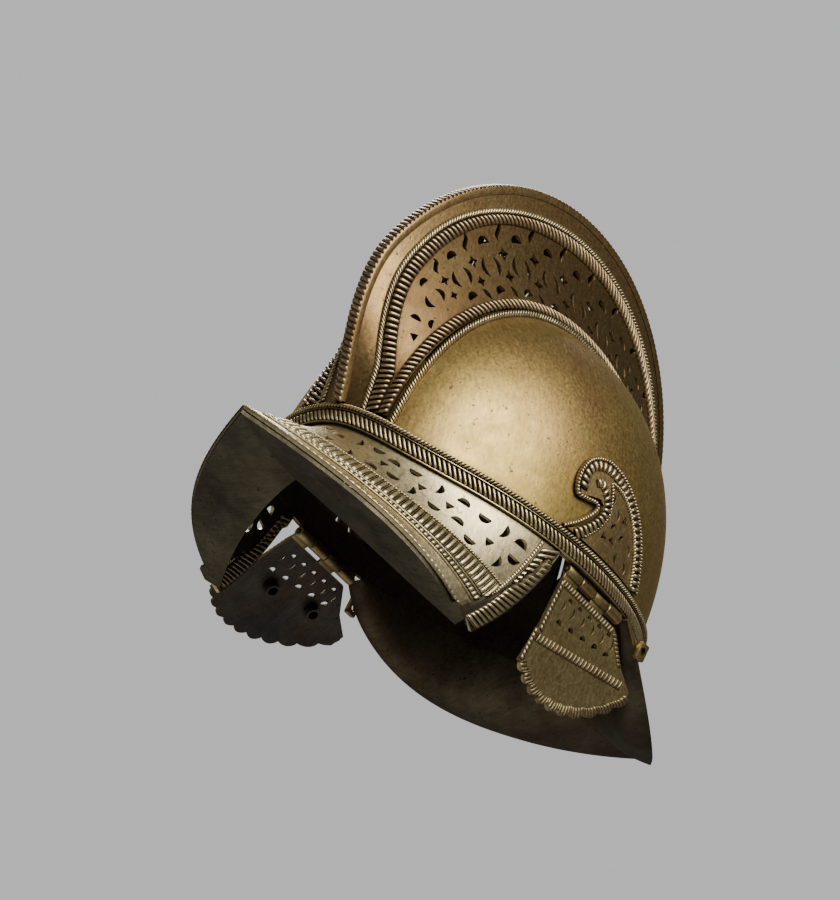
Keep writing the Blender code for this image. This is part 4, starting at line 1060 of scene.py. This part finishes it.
def cheek_low(t):
    """Unscalloped lower edge of the cheek piece, in millimetres from the hinge's middle and axis."""
    handles = [Vector((-CHEEK_FRONT, -0.80 * CHEEK_DROP)), Vector((-0.35 * CHEEK_FRONT, -1.06 * CHEEK_DROP)),
               Vector((0.55 * CHEEK_REAR, -0.95 * CHEEK_DROP)), Vector((CHEEK_REAR, -0.40 * CHEEK_DROP))]
    return bezier(handles, t)


def cheek_edge(t, inset):
    """Point inside the scalloped edge by an inset; the scallops fade inwards."""
    point = cheek_low(t)
    inward = (Vector((0.1 * CHEEK_REAR, -0.4 * CHEEK_DROP)) - point).normalized()
    bite = SCALLOP_DEPTH * (1 - abs(math.sin(math.pi * SCALLOPS * t)) ** 0.8)
    return point + inward * (bite * max(0, 1 - inset / 7) + inset)


def cheek_place(y, z, x=0.0):
    return Vector((HINGE_X + x, HINGE_MIDDLE_Y + y * MM, -HINGE_DROP + z * MM))


def cheek_strip_surface(start, end, width):
    """Surface of a straight strip on the cheek piece's outside, between two points."""
    a, b = Vector(start), Vector(end)
    step = (b - a).normalized()

    def surface(distance, across):
        place = a + step * (distance / MM) + Vector((-step.y, step.x)) * (across - 0.5) * width
        return cheek_place(place.x, place.y, CHEEK_THICKNESS / 2 - 0.1 * MM), Vector((1, 0, 0))
    return surface, (b - a).length * MM


def cheek_piece():
    front, rear, drop = CHEEK_FRONT, CHEEK_REAR, CHEEK_DROP
    outline = [(-0.86 * front, -CHEEK_TOP), (-0.88 * front, -0.45 * drop), (-front, -0.80 * drop)]
    outline += [tuple(cheek_edge(k / 90, 0)) for k in range(1, 90)]
    outline += [(rear, -0.40 * drop), (0.68 * rear, -0.26 * drop), (0.42 * rear, -CHEEK_TOP)]
    rows = ((6, -16, 8.2, -15.2, 0.5, leaf(5.6, 1.3, 0.7), 0), (5, -12, 8.2, -10.6, 0.4, half_moon(1.7), 0),
            (5, -13, 9.4, -22.6, 1.3, half_moon(2.1), 0.15))
    holes = [[((y + dy * k + a) * MM, (z + dz * k + b) * MM) for a, b in turned(shape, turn * k)]
             for count, y, dy, z, dz, shape, turn in rows for k in range(count)]
    outline = [(y * MM, z * MM) for y, z in outline]
    bm = flat_sheet((-30 * MM, 50 * MM), (-66 * MM, 0), 4 * MM, CHEEK_THICKNESS, holes, outline)
    for vert in bm.verts:
        y, z, w = vert.co
        vert.co = cheek_place(y / MM, z / MM, CHEEK_THICKNESS / 2 + w)
    # Inner faces take the brass darkened as painted shade.
    for face in bm.faces:
        face.material_index = 1 if face.calc_center_median().x < HINGE_X - 0.49 * CHEEK_THICKNESS else 0
    for y, z in SOCKETS:
        ring = bmesh.ops.create_circle(bm, cap_ends=False, segments=32, radius=3.5 * MM)["verts"]
        edges = list({edge for vert in ring for edge in vert.link_edges})
        for vert in ring:
            vert.co = cheek_place(y, z, -CHEEK_THICKNESS / 2) + Vector((0.2 * MM, vert.co.x, vert.co.y))
        middle = cheek_place(y, z)
        for x, share in ((-5.2, 1), (0, 0.7), (5.2, 1), (0, 1 / 0.7)):
            made = bmesh.ops.extrude_edge_only(bm, edges=edges)
            edges = [item for item in made["geom"] if isinstance(item, bmesh.types.BMEdge)]
            for vert in made_verts(made):
                vert.co.x += x * MM
                vert.co.y = middle.y + (vert.co.y - middle.y) * share
                vert.co.z = middle.z + (vert.co.z - middle.z) * share
    # The sockets' inner faces also take the brass darkened as painted shade.
    for face in bm.faces:
        if face.calc_center_median().x < HINGE_X - 0.52 * CHEEK_THICKNESS:
            face.material_index = 1
    for index in (0, 2):
        knuckle_tube(bm, index)
        start = knuckle_start(index)
        rounded_box(bm, (HINGE_X - 0.7 * MM, start, -HINGE_DROP - 6.0 * MM),
                    (HINGE_X + 0.7 * MM, start + KNUCKLE_LENGTH, -HINGE_DROP - 1.9 * MM), 0.2 * MM)
    return bm


def cheek_ribs():
    bm = bmesh.new()
    length, share_at = ruler(lambda t: cheek_place(*cheek_edge(t, 0)))

    def rim_surface(distance, across):
        t = min(0.995, max(0.005, share_at(distance)))
        y, z = cheek_edge(t, 0.1 + 5.2 * across)
        return cheek_place(y, z, CHEEK_THICKNESS / 2 - 0.1 * MM), Vector((1, 0, 0))

    lay_strip(bm, rim_surface, length, HATCH_SECTION, 0.9, ROPE_RIBS, 2.3, 1.0)
    for start, end, width, *strip in (
            ((-23, -6.4), (22, -6.4), 3.4, 1.0, ROPE_RIBS, 2.2, 1.0),
            ((-22.6, -35.6), (43.5, -23.4), 4.6, 1.2, BAND_RIBS, 2.8, 1.6),
            ((-24.6, -33), (-25.6, -49.5), 3.0, 1.1, ROPE_RIBS, 2.4, 0.9),
            ((-22.0, -6.5), (-22.3, -32), 2.6, 1.0, ROPE_RIBS, 2.4, 0.9),
            ((23.6, -6.6), (36.2, -17.4), 2.4, 0.9, ROPE_RIBS, 2.2, 0.8)):
        surface, run = cheek_strip_surface(start, end, width)
        lay_strip(bm, surface, run, HATCH_SECTION, *strip)
    return bm


CHEEK_BRASS = brass("dull_cheek_brass", 0.45, rubbed=(0.56, 0.45, 0.21), dull=(0.25, 0.195, 0.08),
                    copper=(0.24, 0.14, 0.065), dulled=0.7, coppered=0.3, dirty=0.9, polish=0.40)
CHEEK_RIB_BRASS = brass("cheek_rib_brass", 0.35, rubbed=(0.46, 0.37, 0.19), dull=(0.20, 0.155, 0.075),
                        copper=(0.28, 0.17, 0.09), dulled=0.6, coppered=0.3, dirty=0.9, polish=0.37)
# Painted shade: the cheek's inside is brass with colours darkened to stand for the shade there.
SHADED_CHEEK_INSIDE_BRASS = brass("shade_darkened_cheek_inside", 0.5, rubbed=(0.12, 0.115, 0.10), dull=(0.05, 0.05, 0.047),
                           copper=(0.13, 0.065, 0.035), dulled=0.8, coppered=0.55, dirty=0.9, polish=0.45)
HINGE_AXIS = Vector((HINGE_X, 0, -HINGE_DROP))
HUNG = (Matrix.Translation(HINGE_AXIS) @ Matrix.Rotation(-RIGHT_CHEEK_SWING, 4, "Y")
        @ Matrix.Translation(-HINGE_AXIS))
CHEEK_BODIES = ("cheek_left", "cheek_right")
both_sides(cheek_piece, "cheek_plate", [CHEEK_BRASS, SHADED_CHEEK_INSIDE_BRASS], "cheek", 50, CHEEK_BODIES,
           HUNG)
both_sides(cheek_ribs, "cheek_border_ribs", [CHEEK_RIB_BRASS], None, 50, CHEEK_BODIES, HUNG)


# Strap loops: a small upright plate with a hole beside each front end of the neck guard.
# They are cut from sheet brass and soldered on.
TAB_LOW = Vector((89.1, 46, -16.5)) * MM
TAB_SIZE = Vector((2.8, 6.5, 8.5)) * MM


def strap_loop():
    bm = bmesh.new()
    rounded_box(bm, TAB_LOW, TAB_LOW + TAB_SIZE, 0.7 * MM)
    hole = bmesh.new()
    middle = TAB_LOW + TAB_SIZE / 2
    made = bmesh.ops.create_cone(hole, cap_ends=True, segments=24, radius1=2 * MM, radius2=2 * MM, depth=8 * MM)
    bmesh.ops.rotate(hole, verts=made["verts"], cent=(0, 0, 0), matrix=Matrix.Rotation(math.pi / 2, 3, "Y"))
    bmesh.ops.translate(hole, verts=made["verts"], vec=middle)
    return cut(bm, hole)


both_sides(strap_loop, "strap_loop", [HINGE_BRASS], "tab")


# Studio: a pale floor well below the helmet, and three soft lights: in front above, behind above, at the side.
# The camera stands low at the front left and looks up into the peak, as in the photograph.
LOOK_AT = Vector((-26, -21, 41)) * MM
VIEW_RIGHT, VIEW_UP = Vector((0.742, 0.529, 0.412)), Vector((-0.094, -0.529, 0.844))
VIEW_BACK = VIEW_RIGHT.cross(VIEW_UP).normalized()
VIEW_UP = VIEW_BACK.cross(VIEW_RIGHT.normalized()).normalized()
VIEW_RIGHT = VIEW_UP.cross(VIEW_BACK).normalized()
CAMERA_DISTANCE, FLOOR_DEPTH = 2.5, 1.25
PHOTO_SCALE = 0.0852

floor = bmesh.new()
bmesh.ops.create_grid(floor, x_segments=1, y_segments=1, size=6)
bmesh.ops.translate(floor, verts=floor.verts[:], vec=(0, 0, -FLOOR_DEPTH))
floor_mesh = bpy.data.meshes.new("studio_floor")
floor.to_mesh(floor_mesh)
floor.free()
pale = bpy.data.materials.new("pale_floor")
pale.use_nodes = True
pale.node_tree.nodes["Principled BSDF"].inputs["Base Color"].default_value = (0.62, 0.62, 0.62, 1)
pale.node_tree.nodes["Principled BSDF"].inputs["Roughness"].default_value = 0.9
floor_mesh.materials.append(pale)
studio_floor = bpy.data.objects.new("studio_floor", floor_mesh)
bpy.context.scene.collection.objects.link(studio_floor)


for name, sideways, up, back, distance, width, length, watts, colour in (
        ("key_softbox", 0.54, 0.58, 0.60, 1.5, 1.2, 1.0, 42, (1, 0.985, 0.95)),
        ("peak_softbox", -0.04, 0.55, -0.83, 1.6, 1.1, 0.8, 30, (1, 0.99, 0.97)),
        ("left_softbox", -0.95, 0.25, 0.10, 1.7, 0.5, 1.2, 2, (1, 1, 1))):
    light = bpy.data.lights.new(name, "AREA")
    light.shape = "RECTANGLE"
    light.size, light.size_y = width, length
    light.energy = watts
    light.color = colour
    lamp = bpy.data.objects.new(name, light)
    way = (sideways * VIEW_RIGHT + up * VIEW_UP + back * VIEW_BACK).normalized()
    lamp.location = LOOK_AT + way * distance
    lamp.rotation_euler = way.to_track_quat("Z", "Y").to_euler()
    bpy.context.scene.collection.objects.link(lamp)

world = bpy.data.worlds.new("studio_air")
world.use_nodes = True
air = world.node_tree
for node in list(air.nodes):
    air.nodes.remove(node)
shown, light_given, either, path, sky = new_nodes(
    air, "Background", "Background", "MixShader", "LightPath", "OutputWorld")
shown.inputs["Color"].default_value = (0.60, 0.60, 0.60, 1)
light_given.inputs["Color"].default_value = (0.06, 0.06, 0.062, 1)
air.links.new(path.outputs["Is Camera Ray"], either.inputs["Fac"])
air.links.new(light_given.outputs["Background"], either.inputs[1])
air.links.new(shown.outputs["Background"], either.inputs[2])
air.links.new(either.outputs["Shader"], sky.inputs["Surface"])
bpy.context.scene.world = world

camera = bpy.data.cameras.new("camera")
camera.lens = PHOTO_SCALE * CAMERA_DISTANCE * 1000
camera.sensor_width = 36
camera.clip_end = 50
viewer = bpy.data.objects.new("camera", camera)
turn = Matrix((VIEW_RIGHT, VIEW_UP, VIEW_BACK)).transposed().to_4x4()
viewer.matrix_world = Matrix.Translation(LOOK_AT + VIEW_BACK * CAMERA_DISTANCE) @ turn
bpy.context.scene.collection.objects.link(viewer)
bpy.context.scene.camera = viewer
